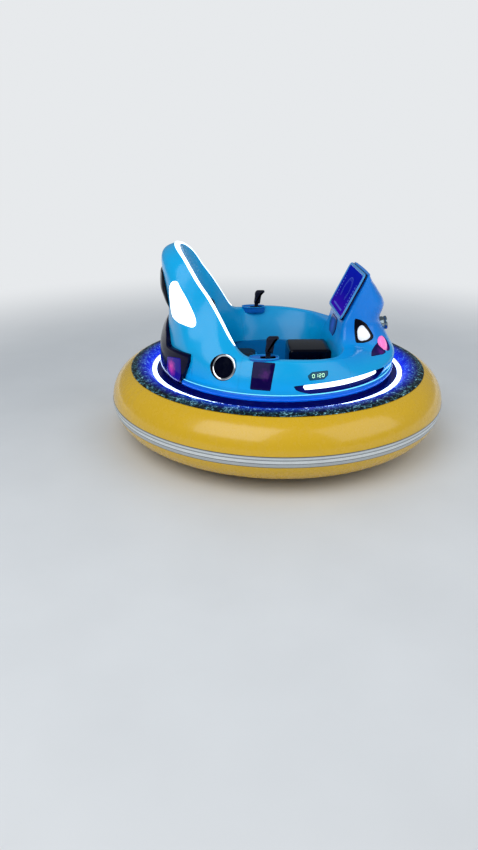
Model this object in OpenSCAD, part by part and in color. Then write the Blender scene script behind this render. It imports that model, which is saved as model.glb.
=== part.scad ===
// Inflatable-ring bumper car with two steering levers.
// +X is forward, +Y is left, +Z is up; the origin is on the floor under the ring's centre.

/* [Ring] */
// Outer radius of the inflated ring
ring_r = 900; // [880:5:920]
// Radius of the ring's tube
tube_r = 165; // [160:1:168]
// Height of the tube's centre over the floor
tube_z = 215; // [210:1:220]
// Height of the silver stripe
stripe_h = 58; // [30:2:70]

/* [Body] */
// Radius of the moulded body where it meets its belt
body_r = 612; // [610:1:614]
// Height of the body's bottom edge
body_z = 371; // [368:1:374]
// Height of the belt round the body's foot
belt_h = 34; // [30:1:36]

/* [Running gear] */
// Radius of a drive wheel
drive_wheel_r = 100; // [90:2:104]
// Distance from the middle to a drive wheel's centre
drive_wheel_y = 450; // [440:2:452]
// Radius of a caster wheel
caster_r = 46; // [40:1:50]
// Distance from a caster's swivel axis to its wheel's axle
caster_trail = 32; // [26:1:36]

/* [Levers] */
// Height of a steering lever above its pod
lever_h = 118; // [100:2:130]

/* [Hidden] */
$fn = 64;

// Clearances: a seat between still pieces, a running shaft, a moving gap
seat_gap = 0.3;
shaft_gap = 0.05;

ring_mid = ring_r - tube_r;
tube_in_r = ring_mid - tube_r;
stripe_z = 196;
stripe_t = 1;

// Deck cover: black fabric over the ring's top, down to the groove round the body
deck_out_r = 793;
deck_t = 4;
fold_r = 716;
fold_z = 378.5;
groove_r = 684;
groove_z = 352;
plinth_t = 8;
led_in_r = 657;
led_out_r = 681;
led_t = 5;

belt_z = body_z + belt_h;
belt_flat = 10;

// Cockpit well
well_x0 = -335;
well_x1 = 295;
well_w = 400;
well_corner = 60;
floor_z = 150;
skin = 6;

// Body sections: a wall section at each bearing, from the front (0) round to the rear (180).
// Columns: bearing, middle radius, shoulder radius and height, lip's outer radius and height,
// lip's inner radius and height, foot radius
B_DEG = 0;
B_MID = 1;
B_SR = 2;
B_SZ = 3;
B_OR = 4;
B_OZ = 5;
B_IR = 6;
B_IZ = 7;
B_FOOT = 8;
sections = [
    [0, 628, 590, 518, 560, 566, 335, 590, 300],
    [14, 628, 588, 514, 545, 556, 338, 580, 308],
    [26, 620, 573, 498, 505, 520, 352, 540, 332],
    [38, 610, 570, 490, 512, 526, 405, 530, 380],
    [50, 603, 572, 490, 530, 524, 455, 526, 425],
    [64, 600, 575, 500, 548, 534, 508, 534, 425],
    [90, 597, 572, 520, 556, 550, 520, 550, 412],
    [108, 597, 572, 520, 554, 550, 514, 550, 420],
    [120, 600, 560, 545, 492, 590, 460, 576, 430],
    [132, 602, 530, 640, 474, 704, 445, 690, 410],
    [140, 604, 535, 690, 482, 788, 453, 775, 395],
    [146, 600, 560, 770, 512, 866, 484, 853, 380],
    [150, 597, 585, 825, 528, 920, 502, 909, 370],
    [156, 592, 600, 880, 534, 965, 508, 951, 360],
    [166, 582, 604, 930, 537, 996, 508, 984, 345],
    [180, 576, 604, 950, 537, 1010, 506, 1000, 340]
];
last = len(sections) - 1;

// Smooth curve value between y1 and y2, with slopes from the neighbours
function hermite(y0, y1, y2, y3, s0, s1, t) =
    (2*t^3 - 3*t^2 + 1)*y1 + (t^3 - 2*t^2 + t)*(y2 - y0)*s0
    + (3*t^2 - 2*t^3)*y2 + (t^3 - t^2)*(y3 - y1)*s1;

// Row k of the table, mirrored past the front and the rear
function section_row(k) =
    k < 0 ? [for (c = [0:B_FOOT]) c == B_DEG ? -sections[-k][c] : sections[-k][c]]
    : k > last ? [for (c = [0:B_FOOT]) c == B_DEG ? 360 - sections[2*last - k][c] : sections[2*last - k][c]]
    : sections[k];

function span_of(deg) = max([for (k = [0:last - 1]) if (deg >= sections[k][B_DEG]) k]);

// The section at any bearing from 0 to 180, as one row
function section_at(deg) =
    let (k = span_of(deg), a = section_row(k - 1), b = section_row(k), c = section_row(k + 1),
         d = section_row(k + 2), h = c[B_DEG] - b[B_DEG], t = (deg - b[B_DEG])/h,
         s0 = h/(c[B_DEG] - a[B_DEG]), s1 = h/(d[B_DEG] - b[B_DEG]))
    [for (col = [0:B_FOOT]) hermite(a[col], b[col], c[col], d[col], s0, s1, t)];

// Point number i of n on a smooth line through the stations P
function along(P, t) =
    let (n = len(P) - 1, k = min(floor(t*n), n - 1), u = t*n - k,
         a = P[max(k - 1, 0)], b = P[k], c = P[k + 1], d = P[min(k + 2, n)])
    hermite(a, b, c, d, 0.5, 0.5, u);

mid_rise = 0.55;
outer_steps = 14;
inner_steps = 5;

// Outer line of the wall: belt, middle, shoulder, lip. It can be grown outwards.
// Inner line: lip, back, foot
function outer_line(row, grow) = [
    [body_r + grow, body_z],
    for (i = [0:outer_steps])
        [grow, 0] + along([[body_r, belt_z], [row[B_MID], belt_z + mid_rise*(row[B_SZ] - belt_z)],
                           [row[B_SR], row[B_SZ]], [row[B_OR], row[B_OZ]]], i/outer_steps)
];
function inner_line(row) = [
    for (i = [0:inner_steps])
        let (t = i/inner_steps, sag = inner_sag*sin(180*t))
        [row[B_IR] + (row[B_FOOT] - row[B_IR])*t - sag, row[B_IZ] + (body_z - row[B_IZ])*t]
];
inner_sag = 8;

function spin(p, deg) = [p[0]*cos(deg), p[0]*sin(deg), p[1]];

// Solid wall between two bearings: closed sections joined into a ring of quads
module wall(from, to, step, grow = 0) {
    n = ceil((to - from)/step);
    bearings = [for (i = [0:n]) from + (to - from)*i/n];
    rings = [for (b = bearings)
        let (row = section_at(abs(b) > 180 ? 360 - abs(b) : abs(b)))
        concat(outer_line(row, grow), inner_line(row))];
    m = len(rings[0]);
    points = [for (i = [0:n]) for (p = rings[i]) spin(p, bearings[i])];
    polyhedron(points, concat(quads(n, m), end_cap(0, m, true), end_cap(n*m, m, false)));
}
// Faces between n + 1 closed rings of m points
function quads(n, m) = [
    for (i = [0:n - 1]) for (j = [0:m - 1])
        let (a = i*m + j, b = i*m + (j + 1)%m, c = a + m, d = b + m)
        each [[a, b, c], [b, d, c]]
];

// Flat end of a wall: the section's line is closed as strips between its two sides
function end_cap(base, m, flip) =
    let (half = floor(m/2))
    [for (j = [0:half - 1])
        let (a = base + j, b = base + j + 1, c = base + m - 1 - j, d = base + m - 2 - j)
        each (j == half - 1
            ? (m%2 == 0 ? [] : [flip ? [a, c, b] : [a, b, c]])
            : (flip ? [[a, c, b], [b, c, d]] : [[a, b, c], [b, d, c]]))];

// A frame on the surface: x runs level, y runs up and z points out along a bearing, leaning up
module facing(at, yaw, lean) {
    translate(at)
        rotate([0, 0, yaw])
            rotate([0, -lean, 0])
                rotate([90, 0, 90])
                    children();
}
// The part of a grown surface inside an outline seen along that frame.
// The child 0 is the outline, the child 1 the surface
module inlay(at, yaw, lean, depth) {
    intersection() {
        outline_prism(at, yaw, lean, depth) children(0);
        children(1);
    }
}
module outline_prism(at, yaw, lean, depth) {
    facing(at, yaw, lean)
        translate([0, 0, -depth])
            linear_extrude(depth + inlay_reach)
                children();
}
inlay_reach = 60;
module pocket(at, yaw, lean, depth) {
    facing(at, yaw, lean)
        translate([0, 0, -depth - seat_gap])
            linear_extrude(depth + inlay_reach)
                offset(delta = seat_gap) children();
}
module both_sides() {
    children();
    mirror([0, 1, 0]) children();
}

module square_from(x0, y0, x1, y1) {
    translate([x0, y0]) square([x1 - x0, y1 - y0]);
}
// Rectangle with true round corners
module round_rect(x0, x1, half_w, r) {
    translate([x0 + r, -half_w]) square([x1 - x0 - 2*r, 2*half_w]);
    translate([x0, -half_w + r]) square([x1 - x0, 2*half_w - 2*r]);
    for (x = [x0 + r, x1 - r])
        for (y = [r - half_w, half_w - r])
            translate([x, y]) circle(r = r);
}

// Ring
module ring_tube() {
    color("gold")
        rotate_extrude($fn = 128)
            difference() {
                translate([ring_mid, tube_z]) circle(r = tube_r);
                fold_cut();
            }
}
// Underside of the deck cover where it runs straight down to the groove
function deck_foot_z(r) = fold_z + (r - fold_r)*(fold_z - groove_z + deck_t)/(fold_r - groove_r);
// Where the deck cover draws the inner top of the tube down to the groove
module fold_cut() {
    polygon([
        [fold_r, deck_foot_z(fold_r) - seat_gap],
        [fold_r, 400],
        [tube_in_r, 400],
        [tube_in_r, groove_z - plinth_t - seat_gap],
        [groove_r, groove_z - plinth_t - seat_gap],
        [groove_r, deck_foot_z(groove_r) - seat_gap]
    ]);
}

module ring_stripe() {
    color("silver")
        rotate_extrude($fn = 128)
            intersection() {
                difference() {
                    translate([ring_mid, tube_z]) circle(r = tube_r + seat_gap + stripe_t);
                    translate([ring_mid, tube_z]) circle(r = tube_r + seat_gap);
                }
                translate([ring_mid, stripe_z - stripe_h/2]) square([2*tube_r, stripe_h]);
            }
}

module deck_cover() {
    color("black")
        rotate_extrude($fn = 128)
            union() {
                intersection() {
                    difference() {
                        translate([ring_mid, tube_z]) circle(r = tube_r + seat_gap + deck_t);
                        translate([ring_mid, tube_z]) circle(r = tube_r + seat_gap);
                    }
                    translate([fold_r, tube_z]) square([deck_out_r - fold_r, 2*tube_r]);
                }
                polygon([
                    [fold_r, deck_foot_z(fold_r)],
                    [fold_r, deck_foot_z(fold_r) + deck_t],
                    [groove_r, deck_foot_z(groove_r) + deck_t + 2],
                    [groove_r, deck_foot_z(groove_r)]
                ]);
            }
}

module led_ring() {
    color("white")
        rotate_extrude($fn = 128)
            translate([led_in_r, groove_z + seat_gap]) square([led_out_r - led_in_r, led_t]);
}

// Plinth: the dark platform that the body stands on, with the groove outside it
module plinth() {
    color("midnightblue")
        difference() {
            rotate_extrude($fn = 128)
                polygon([
                    [0, body_z], [body_r - 1, body_z], [body_r - 1, groove_z],
                    [groove_r - 1, groove_z], [groove_r - 1, groove_z - plinth_t], [0, groove_z - plinth_t]
                ]);
            translate([0, 0, groove_z - 50])
                linear_extrude(100)
                    round_rect(well_x0 - seat_gap, well_x1 + seat_gap, well_w + seat_gap, well_corner);
        }
}

module body_belt() {
    color("deepskyblue")
        rotate_extrude(angle = 2*rear_from - 1, start = 0.5 - rear_from, $fn = 128)
            union() {
                translate([body_r + seat_gap, body_z]) square([belt_flat, belt_h]);
                intersection() {
                    translate([body_r + 1, body_z + belt_h/2]) circle(r = belt_h/2);
                    translate([body_r + seat_gap, body_z]) square([belt_h, belt_h]);
                }
            }
}

// Body shells
seat_from = 112;
nose_to = 58;
shell_step = 3;
lamp_step = 2;
module seat_shell() {
    color("deepskyblue")
        difference() {
            wall(seat_from, 360 - seat_from, shell_step);
            both_sides() speaker_pocket();
            both_sides()
                pocket(side_lamp_at, side_lamp_yaw, side_lamp_lean, side_lamp_depth) side_lamp_line();
        }
}
module sill() {
    difference() {
        wall(nose_to, seat_from, shell_step);
        pod_envelope(seat_gap);
        pocket(panel_at, panel_yaw, panel_lean, panel_depth) panel_line();
        pocket(display_at, display_yaw, display_lean, display_depth) display_line();
        light_bar_pocket();
    }
}
module sill_left() {
    color("deepskyblue") sill();
}
module sill_right() {
    color("deepskyblue") mirror([0, 1, 0]) sill();
}
module nose_shell() {
    color("deepskyblue")
        difference() {
            union() {
                wall(-nose_to, nose_to, shell_step);
                housing();
            }
            both_sides() light_bar_pocket();
            both_sides() pocket(headlamp_at, headlamp_yaw, headlamp_lean, headlamp_depth) headlamp_line();
            both_sides() fog_lamp_bore();
            both_sides() pocket(mouth_at, mouth_yaw, mouth_lean, mouth_depth) mouth_line();
            facing(nose_lamp_at, 0, nose_lamp_lean) cylinder(r = nose_lamp_r + seat_gap, h = 100);
            pocket(console_at, 180, console_lean, console_depth) console_line();
            on_screen(screen_back - screen_foot - seat_gap)
                screen_plate(screen_half_l - foot_inset + seat_gap, screen_half_w - foot_inset + seat_gap,
                             screen_foot, foot_corner);
        }
}

// Screen housing: level sections of a fin that rises from the nose.
// Columns: height, x of the rider's side, x of the front, half width
H_Z = 0;
H_BACK = 1;
H_FRONT = 2;
H_HALF = 3;
housing_levels = [
    [371, 292, 590, 290],
    [410, 292, 605, 305],
    [450, 292, 615, 305],
    [500, 294, 602, 272],
    [550, 303, 580, 234],
    [600, 311, 553, 206],
    [640, 321, 541, 196],
    [690, 345, 556, 190],
    [722, 361, 555, 188],
    [790, 394, 512, 187],
    [850, 423, 468, 185],
    [876, 436, 452, 184]
];
housing_points = 40;
back_square = 7;
front_round = 2.6;
widest_at = 0.3;
// One level: a rounded outline, squarer towards the rider, widest 0.3 of the way to the front
function housing_outline(level, grow) =
    let (mid = level[H_BACK] + widest_at*(level[H_FRONT] - level[H_BACK]))
    [for (i = [0:housing_points - 1])
        let (a = 360*i/housing_points, c = cos(a), n = c < 0 ? back_square : front_round,
             reach = (c < 0 ? mid - level[H_BACK] : level[H_FRONT] - mid) + grow)
        [mid + reach*sign(c)*pow(abs(c), 2/n),
         (level[H_HALF] + grow)*sign(sin(a))*pow(abs(sin(a)), 2/n), level[H_Z]]];
module housing(grow = 0) {
    last_level = len(housing_levels) - 1;
    n = 2*last_level;
    rings = [for (i = [0:n])
        let (k = floor(i/2), a = housing_levels[k], b = housing_levels[min(k + 1, last_level)],
             before = housing_levels[max(k - 1, 0)], after = housing_levels[min(k + 2, last_level)])
        housing_outline(i%2 == 0 ? a : hermite(before, a, b, after, 0.5, 0.5, 0.5), grow)];
    m = housing_points;
    floor_cap = [[for (j = [0:m - 1]) j]];
    roof_cap = [[for (j = [0:m - 1]) n*m + m - 1 - j]];
    points = [for (ring = rings) each ring];
    faces = [for (f = quads(n, m)) [f[0], f[2], f[1]]];
    polyhedron(points, concat(faces, floor_cap, roof_cap));
}

// Screen on the rider's side of the fin
screen_lean = 26;
screen_mid = [370, 0, 759];
screen_half_w = 185;
screen_half_l = 129;
screen_back = -2;
screen_front = 10;
screen_rim = 14;
screen_corner = 14;
glass_corner = 6;
glass_sunk = 4;
glass_t = 3;
screen_foot = 9;
foot_inset = 40;
foot_corner = 10;
// Axes of the screen: x runs up the slope, z faces the rider
module on_screen(out = 0) {
    translate(screen_mid)
        rotate([0, -90 + screen_lean, 0])
            translate([0, 0, out])
                children();
}
module screen_plate(half_l, half_w, t, r) {
    linear_extrude(t) round_rect(-half_l, half_l, half_w, r);
}
module screen_frame() {
    glass_bed = screen_front - glass_sunk - glass_t - seat_gap;
    color("lightskyblue")
        difference() {
            union() {
                on_screen(screen_back)
                    screen_plate(screen_half_l, screen_half_w, screen_front - screen_back, screen_corner);
                on_screen(screen_back - screen_foot)
                    screen_plate(screen_half_l - foot_inset, screen_half_w - foot_inset, screen_foot + 1,
                                 foot_corner);
            }
            on_screen(glass_bed)
                screen_plate(screen_half_l - screen_rim, screen_half_w - screen_rim, 2*screen_front,
                             glass_corner);
        }
}
module screen_glass() {
    inset = screen_rim + seat_gap;
    color("navy")
        on_screen(screen_front - glass_sunk - glass_t)
            screen_plate(screen_half_l - inset, screen_half_w - inset, glass_t, glass_corner);
}

// Lit strip round the front edge of the seat shell
arch_from = 120;
arch_t = 5;
arch_gap = 1.4;
arch_steps = (360 - 2*arch_from)/shell_step;
module arch_light() {
    bearings = [for (i = [0:arch_steps]) arch_from + (360 - 2*arch_from)*i/arch_steps];
    rings = [for (b = bearings)
        let (row = section_at(b > 180 ? 360 - b : b),
             o = [row[B_OR], row[B_OZ]], i = [row[B_IR], row[B_IZ]],
             d = (o - i)/norm(o - i), up = [-d[1], d[0]],
             a = i + d*2, c = o - d*2)
        [a + up*arch_gap, c + up*arch_gap, c + up*(arch_t + arch_gap), a + up*(arch_t + arch_gap)]];
    points = [for (i = [0:arch_steps]) for (p = rings[i]) spin(p, bearings[i])];
    sides = [for (i = [0:arch_steps - 1]) for (j = [0:3])
        let (a = i*4 + j, b = i*4 + (j + 1)%4)
        each [[a, b, a + 4], [b, b + 4, a + 4]]];
    e = arch_steps*4;
    color("white")
        polyhedron(points, concat(sides, [[0, 3, 1], [1, 3, 2], [e, e + 1, e + 3], [e + 1, e + 2, e + 3]]));
}

// Lamps, panels and speakers on the walls. Each outline is seen along the lamp's own frame
proud = 3;
side_lamp_at = [-492, 307, 769];
side_lamp_yaw = 128;
side_lamp_lean = 10;
side_lamp_depth = 66;
module side_lamp_line() {
    polygon([[60, 98], [37, 101], [23, 83], [-11, 35], [-38, -9], [-66, -58], [-76, -84], [-76, -100],
             [-64, -109], [-27, -102], [34, -93], [90, -80], [113, -50], [110, 8], [84, 76]]);
}
module side_lamps() {
    color("white")
        both_sides()
            inlay(side_lamp_at, side_lamp_yaw, side_lamp_lean, side_lamp_depth) {
                side_lamp_line();
                wall(side_lamp_from, side_lamp_to, lamp_step, proud);
            }
}
side_lamp_from = 132;
side_lamp_to = 172;

// Rear: a cover on the back and a moulding round the foot that holds the tail lamps.
// Each is a turned profile that seats on the shell
rear_from = 140;
rear_inner_r = 560;
cover_from = 168;
cover_line = [
    [rear_inner_r, 690], [584, 692], [597, 724], [606, 761], [614, 793], [618, 829], [617, 878], [610, 890],
    [rear_inner_r, 890]
];
moulding_line = [
    [rear_inner_r, body_z], [626, body_z], [635, 395], [633, 460], [628, 520], [610, 585], [586, 632],
    [rear_inner_r, 632]
];
tail_lamp_at = [-550, 317.5, 440];
tail_lamp_yaw = 150;
tail_lamp_depth = 16;
module tail_lamp_line() {
    polygon([[-78, 66], [72, 46], [66, -20], [6, -42], [-50, -60], [-78, -20]]);
}
module turned(line, from, to, grow = 0) {
    rotate_extrude(angle = to - from, start = from, $fn = 128)
        translate([grow, 0]) polygon(line);
}
// The moulding's top edge falls from the middle of the back to its two ends
moulding_edge = [[-460, 0], [-460, 528], [-396, 538], [-240, 600], [-100, 632],
                 [100, 632], [240, 600], [396, 538], [460, 528], [460, 0]];
module rear_moulding(grow = 0) {
    intersection() {
        turned(moulding_line, rear_from, 360 - rear_from, grow);
        translate([-body_r - 60, 0, 0])
            rotate([90, 0, 90]) linear_extrude(400) polygon(moulding_edge);
    }
}
module rear_cover() {
    color("black")
        difference() {
            union() {
                turned(cover_line, cover_from, 360 - cover_from);
                rear_moulding();
            }
            wall(seat_from, 360 - seat_from, shell_step, seat_gap);
            both_sides() pocket(tail_lamp_at, tail_lamp_yaw, 0, tail_lamp_depth) tail_lamp_line();
        }
}
module tail_lamps() {
    color("indigo")
        both_sides()
            inlay(tail_lamp_at, tail_lamp_yaw, 0, tail_lamp_depth) {
                tail_lamp_line();
                rear_moulding(proud);
            }
}
speaker_at = [-285.4, 486.5, 500];
speaker_yaw = 120.4;
speaker_lean = 21;
speaker_r = 64;
speaker_depth = 20;
// Half section from the middle: cap, cone, surround and rolled rim
speaker_line = [
    [0, 0], [speaker_r, 0], [speaker_r, 17], [63, 19], [61, 20], [54, 20], [51, 18], [50, 14], [46, 12.5],
    [40, 13], [22, 6], [18, 9], [11, 12], [0, 13.5]
];
module speaker_pocket() {
    facing(speaker_at, speaker_yaw, speaker_lean)
        translate([0, 0, -seat_gap]) cylinder(r = speaker_r + seat_gap, h = 2*speaker_depth);
}
module speakers() {
    color("silver")
        both_sides()
            facing(speaker_at, speaker_yaw, speaker_lean)
                rotate_extrude() polygon(speaker_line);
}

panel_at = [-107, 576, 492];
panel_yaw = 100;
panel_lean = 24;
panel_depth = 14;
module panel_line() {
    polygon([[53, 60], [-49, 57], [-33, -72], [62, -69]]);
}
module side_panels() {
    color("black")
        both_sides()
            difference() {
                inlay(panel_at, panel_yaw, panel_lean, panel_depth) {
                    panel_line();
                    wall(90, 112, lamp_step, proud);
                }
                pod_envelope(seat_gap);
            }
}

// Pods: barrel-shaped trays on the sills that carry the steering levers
pod_x = -102;
pod_y = 506;
pod_z = 525;
pod_h = 32;
pod_len = 136;
pod_w = 80;
pod_side_r = 133;
pod_corner = 12;
rim_out = 2;
rim_t = 5;
lever_x = -84;
lever_y = 500;
lever_pin_z = 549;
lever_pin_r = 4;
lever_hub_r = 12;
lever_hub_w = 26;
well_len = 74;
well_gap = 5;
well_floor = 4;
well_corner_r = 8;
// Outline between two long arcs and two short ends
module pod_line(extra = 0) {
    arc_y = pod_side_r - pod_w/2;
    translate([pod_x, 0])
        intersection() {
            translate([0, pod_y - arc_y]) circle(r = pod_side_r + extra, $fn = 128);
            translate([0, pod_y + arc_y]) circle(r = pod_side_r + extra, $fn = 128);
            translate([0, pod_y])
                round_rect(-pod_len/2 - extra, pod_len/2 + extra, pod_w/2 + extra, pod_corner);
        }
}
module pod_envelope(extra = 0) {
    translate([0, 0, pod_z - extra])
        linear_extrude(pod_h + 40) pod_line(extra);
    translate([0, 0, pod_z + pod_h - rim_t - extra])
        linear_extrude(rim_t + 40) pod_line(rim_out + extra);
}
module pod() {
    difference() {
        union() {
            translate([0, 0, pod_z]) linear_extrude(pod_h) pod_line();
            translate([0, 0, pod_z + pod_h - rim_t]) linear_extrude(rim_t) pod_line(rim_out);
        }
        translate([lever_x, lever_y, pod_z + well_floor])
            linear_extrude(pod_h)
                round_rect(-well_len/2, well_len/2, lever_hub_w/2 + well_gap, well_corner_r);
        translate([lever_x, lever_y + lever_hub_w, lever_pin_z])
            rotate([90, 0, 0])
                cylinder(r = lever_pin_r + shaft_gap, h = 2*lever_hub_w);
    }
}
module pods() {
    color("black") both_sides() pod();
}

// Light bars low on the body, each in the upper half of a recess
bar_from = 38.5;
bar_to = 82.5;
recess_from = 34;
recess_to = 86;
bar_lean = tan(14);
bar_mid_z = 432;
bar_low = 422;
bar_high = 448;
recess_low = 410;
recess_high = 452;
recess_r = 591;
bar_t = 10;
// A band on the cone that the wall follows here, between two radii at the middle height
module cone_band(from, to, r0, r1, low, high) {
    rotate_extrude(angle = to - from, start = from, $fn = 128)
        polygon([for (p = [[r0, low], [r1, low], [r1, high], [r0, high]])
            [p[0] - (p[1] - bar_mid_z)*bar_lean, p[1]]]);
}
module light_bar_pocket() {
    cone_band(recess_from, recess_to, recess_r, recess_r + 70, recess_low, recess_high);
}
module light_bars() {
    color("white")
        both_sides()
            cone_band(bar_from, bar_to, recess_r + seat_gap, recess_r + bar_t, bar_low, bar_high);
}

display_at = [146, 571, 484];
display_yaw = 75;
display_lean = 25;
display_depth = 14;
module display_line() {
    polygon([[49, 3], [42, -18], [-29, -18], [-52, 0], [-55, 19], [27, 18]]);
}
module number_displays() {
    color("black")
        both_sides()
            inlay(display_at, display_yaw, display_lean, display_depth) {
                display_line();
                wall(66, 84, lamp_step, proud);
            }
}

// Lamps and openings of the nose
headlamp_at = [430, 210, 585];
headlamp_yaw = 75;
headlamp_lean = 20;
headlamp_depth = 22;
module headlamp_line() {
    polygon([[43, 77], [8, 66], [-26, 40], [-47, 6], [-60, -22], [-50, -40], [-17, -47], [16, -50],
             [50, -46]]);
}
module headlamp_lens_line() {
    polygon([[32, 18], [18, 42], [-3, 45], [-34, 2], [-46, -25], [-20, -38], [24, -42], [38, -33]]);
}
lens_proud = 6;
lens_depth = 11;
module headlamps() {
    color("white") {
        intersection() {
            both_sides()
                outline_prism(headlamp_at, headlamp_yaw, headlamp_lean, headlamp_depth) headlamp_line();
            housing(proud);
        }
        intersection() {
            both_sides()
                outline_prism(headlamp_at, headlamp_yaw, headlamp_lean, lens_depth) headlamp_lens_line();
            housing(lens_proud);
        }
    }
}
fog_at = [535, 205, 524];
fog_yaw = 30;
fog_lean = 25;
fog_side = -10;
fog_r = 42;
fog_depth = 26;
// Half section of the domed lens, from its seat outwards
fog_line = [[0, -fog_depth], [fog_r, -fog_depth], [fog_r, 0], [fog_r - 3, 3], [33, 6], [22, 9],
            [11, 10.5], [0, 11]];
module fog_lamp_bore() {
    facing(fog_at, fog_yaw, fog_lean)
        translate([fog_side, 0, -fog_depth - seat_gap]) cylinder(r = fog_r + seat_gap, h = 100);
}
module fog_lamps() {
    color("hotpink")
        both_sides()
            facing(fog_at, fog_yaw, fog_lean)
                translate([fog_side, 0, 0]) rotate_extrude() polygon(fog_line);
}
mouth_at = [489, 251, 506];
mouth_yaw = 45;
mouth_lean = 25;
mouth_depth = 20;
mouth_proud = 1;
module mouth_line() {
    polygon([[84, -18], [-10, 24], [-40, 36], [-46, -26], [-12, -30]]);
}
module mouth_grilles() {
    color("black")
        difference() {
            intersection() {
                both_sides() outline_prism(mouth_at, mouth_yaw, mouth_lean, mouth_depth) mouth_line();
                housing(mouth_proud);
            }
            both_sides() fog_lamp_bore();
        }
}
nose_lamp_at = [540, 0, 577];
nose_lamp_lean = 8;
nose_lamp_r = 36;
nose_lamp_out = 56;
// Half section of the nose lamp: a stepped tube with its lens set back in a rounded rim
nose_lamp_line = [
    [0, 0], [nose_lamp_r, 0], [nose_lamp_r, 34], [33, 38], [33, 44], [nose_lamp_r, 47], [nose_lamp_r, 53],
    [34, nose_lamp_out], [30, nose_lamp_out], [28, 53], [27, 48], [14, 50], [0, 51]
];
module nose_lamp() {
    color("silver")
        facing(nose_lamp_at + [seat_gap, 0, 0], 0, nose_lamp_lean)
            rotate_extrude() polygon(nose_lamp_line);
}

console_at = [306, 0, 572];
console_lean = 10;
console_depth = 8;
module console_line() {
    polygon([[-95, 0], [-70, 50], [70, 50], [95, 0], [60, -46], [-60, -46]]);
}
module console_panel() {
    color("indigo")
        inlay(console_at, 180, console_lean, console_depth) {
            console_line();
            housing(proud);
        }
}

// Cockpit
knee_x0 = 60;
knee_x1 = 288;
knee_h = 309;
knee_half_w = 110;
knee_corner = 20;
// Side view of the knee box: round upper edges on a straight base
module knee_box() {
    color("black")
        translate([0, knee_half_w, floor_z + skin])
            rotate([90, 0, 0])
                linear_extrude(2*knee_half_w)
                    union() {
                        square_from(knee_x0, 0, knee_x1, knee_h - knee_corner);
                        square_from(knee_x0 + knee_corner, 0, knee_x1 - knee_corner, knee_h);
                        for (x = [knee_x0 + knee_corner, knee_x1 - knee_corner])
                            translate([x, knee_h - knee_corner]) circle(r = knee_corner);
                    }
}
module cockpit_tub() {
    color("dodgerblue")
        difference() {
            translate([0, 0, floor_z])
                linear_extrude(body_z - floor_z)
                    round_rect(well_x0, well_x1, well_w, well_corner);
            translate([0, 0, floor_z + skin])
                linear_extrude(body_z)
                    round_rect(well_x0 + skin, well_x1 - skin, well_w - skin, well_corner - skin);
        }
}
seat_x1 = -90;
seat_w = 300;
seat_top = 330;
seat_corner = 24;
module seat_box() {
    back = well_x0 + skin + 1;
    color("dodgerblue")
        difference() {
            translate([0, 0, floor_z + skin])
                linear_extrude(seat_top - floor_z - skin)
                    round_rect(back, seat_x1, seat_w, seat_corner);
            translate([0, 0, floor_z + skin - 1])
                linear_extrude(seat_top - floor_z - 2*skin + 1)
                    round_rect(back + skin, seat_x1 - skin, seat_w - skin, seat_corner - skin);
        }
}
battery_x0 = -305;
battery_size = [190, 360, 150];
module battery() {
    color("dimgray")
        translate([battery_x0, -battery_size[1]/2, floor_z + skin]) cube(battery_size);
}
cushion_t = 50;
cushion_x0 = -306;
cushion_x1 = -95;
cushion_half_w = 240;
module seat_cushion() {
    color("black")
        translate([0, 0, seat_top])
            linear_extrude(cushion_t)
                round_rect(cushion_x0, cushion_x1, cushion_half_w, 30);
}
back_x = -316;
back_z = 400;
back_lean = 14;
back_h = 300;
back_t = 45;
back_half_w = 170;
module back_cushion() {
    color("black")
        translate([back_x, 0, back_z])
            rotate([0, -back_lean, 0])
                linear_extrude(back_h)
                    round_rect(0, back_t, back_half_w, 20);
}

// Chassis: a hoop with an upright band inside the ring, two rails and cross members
hoop_r0 = 528;
hoop_r1 = 558;
rail_y = 170;
rail_w = 30;
rail_h = 30;
chassis_z = floor_z - rail_h;
post_r = 11;
post_step = 45;
band_top = 245;
rear_cross_x = -330;
front_cross_x = 290;
plate_t = 8;
plate_half = 50;
kingpin_r = 8;
module chassis_hoop() {
    color("dimgray")
        union() {
            rotate_extrude($fn = 128)
                union() {
                    translate([hoop_r0, chassis_z]) square([hoop_r1 - hoop_r0, rail_h]);
                    translate([hoop_r1 - 1, chassis_z])
                        square([tube_in_r - seat_gap - hoop_r1 + 1, band_top - chassis_z]);
                }
            for (deg = [post_step/2:post_step:360])
                rotate([0, 0, deg])
                    translate([(hoop_r0 + hoop_r1)/2, 0, chassis_z])
                        cylinder(r = post_r, h = groove_z - plinth_t - chassis_z);
        }
}
// What lies inside the hoop
module in_hoop() {
    intersection() {
        children();
        cylinder(r = hoop_r0, h = 2*floor_z, $fn = 128);
    }
}
module chassis_rails() {
    color("dimgray")
        both_sides()
            in_hoop()
                translate([-hoop_r1, rail_y - rail_w/2, chassis_z]) cube([2*hoop_r1, rail_w, rail_h]);
}
module cross_members() {
    between = rail_y - rail_w/2;
    color("dimgray") {
        for (x = [rear_cross_x, front_cross_x]) {
            translate([x - rail_w/2, -between, chassis_z]) cube([rail_w, 2*between, rail_h]);
            both_sides()
                in_hoop()
                    translate([x - rail_w/2, rail_y + rail_w/2, chassis_z]) cube([rail_w, hoop_r1, rail_h]);
        }
        for (x = [-caster_x, caster_x])
            difference() {
                translate([x - plate_half, -between, chassis_z]) cube([2*plate_half, 2*between, plate_t]);
                translate([x, 0, chassis_z - 1]) cylinder(r = kingpin_r + shaft_gap, h = 2*plate_t);
            }
    }
}

// Running gear
drive_x = -20;
axle_r = 10;
axle_end = 32;
motor_y0 = 205;
motor_y1 = 395;
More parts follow.
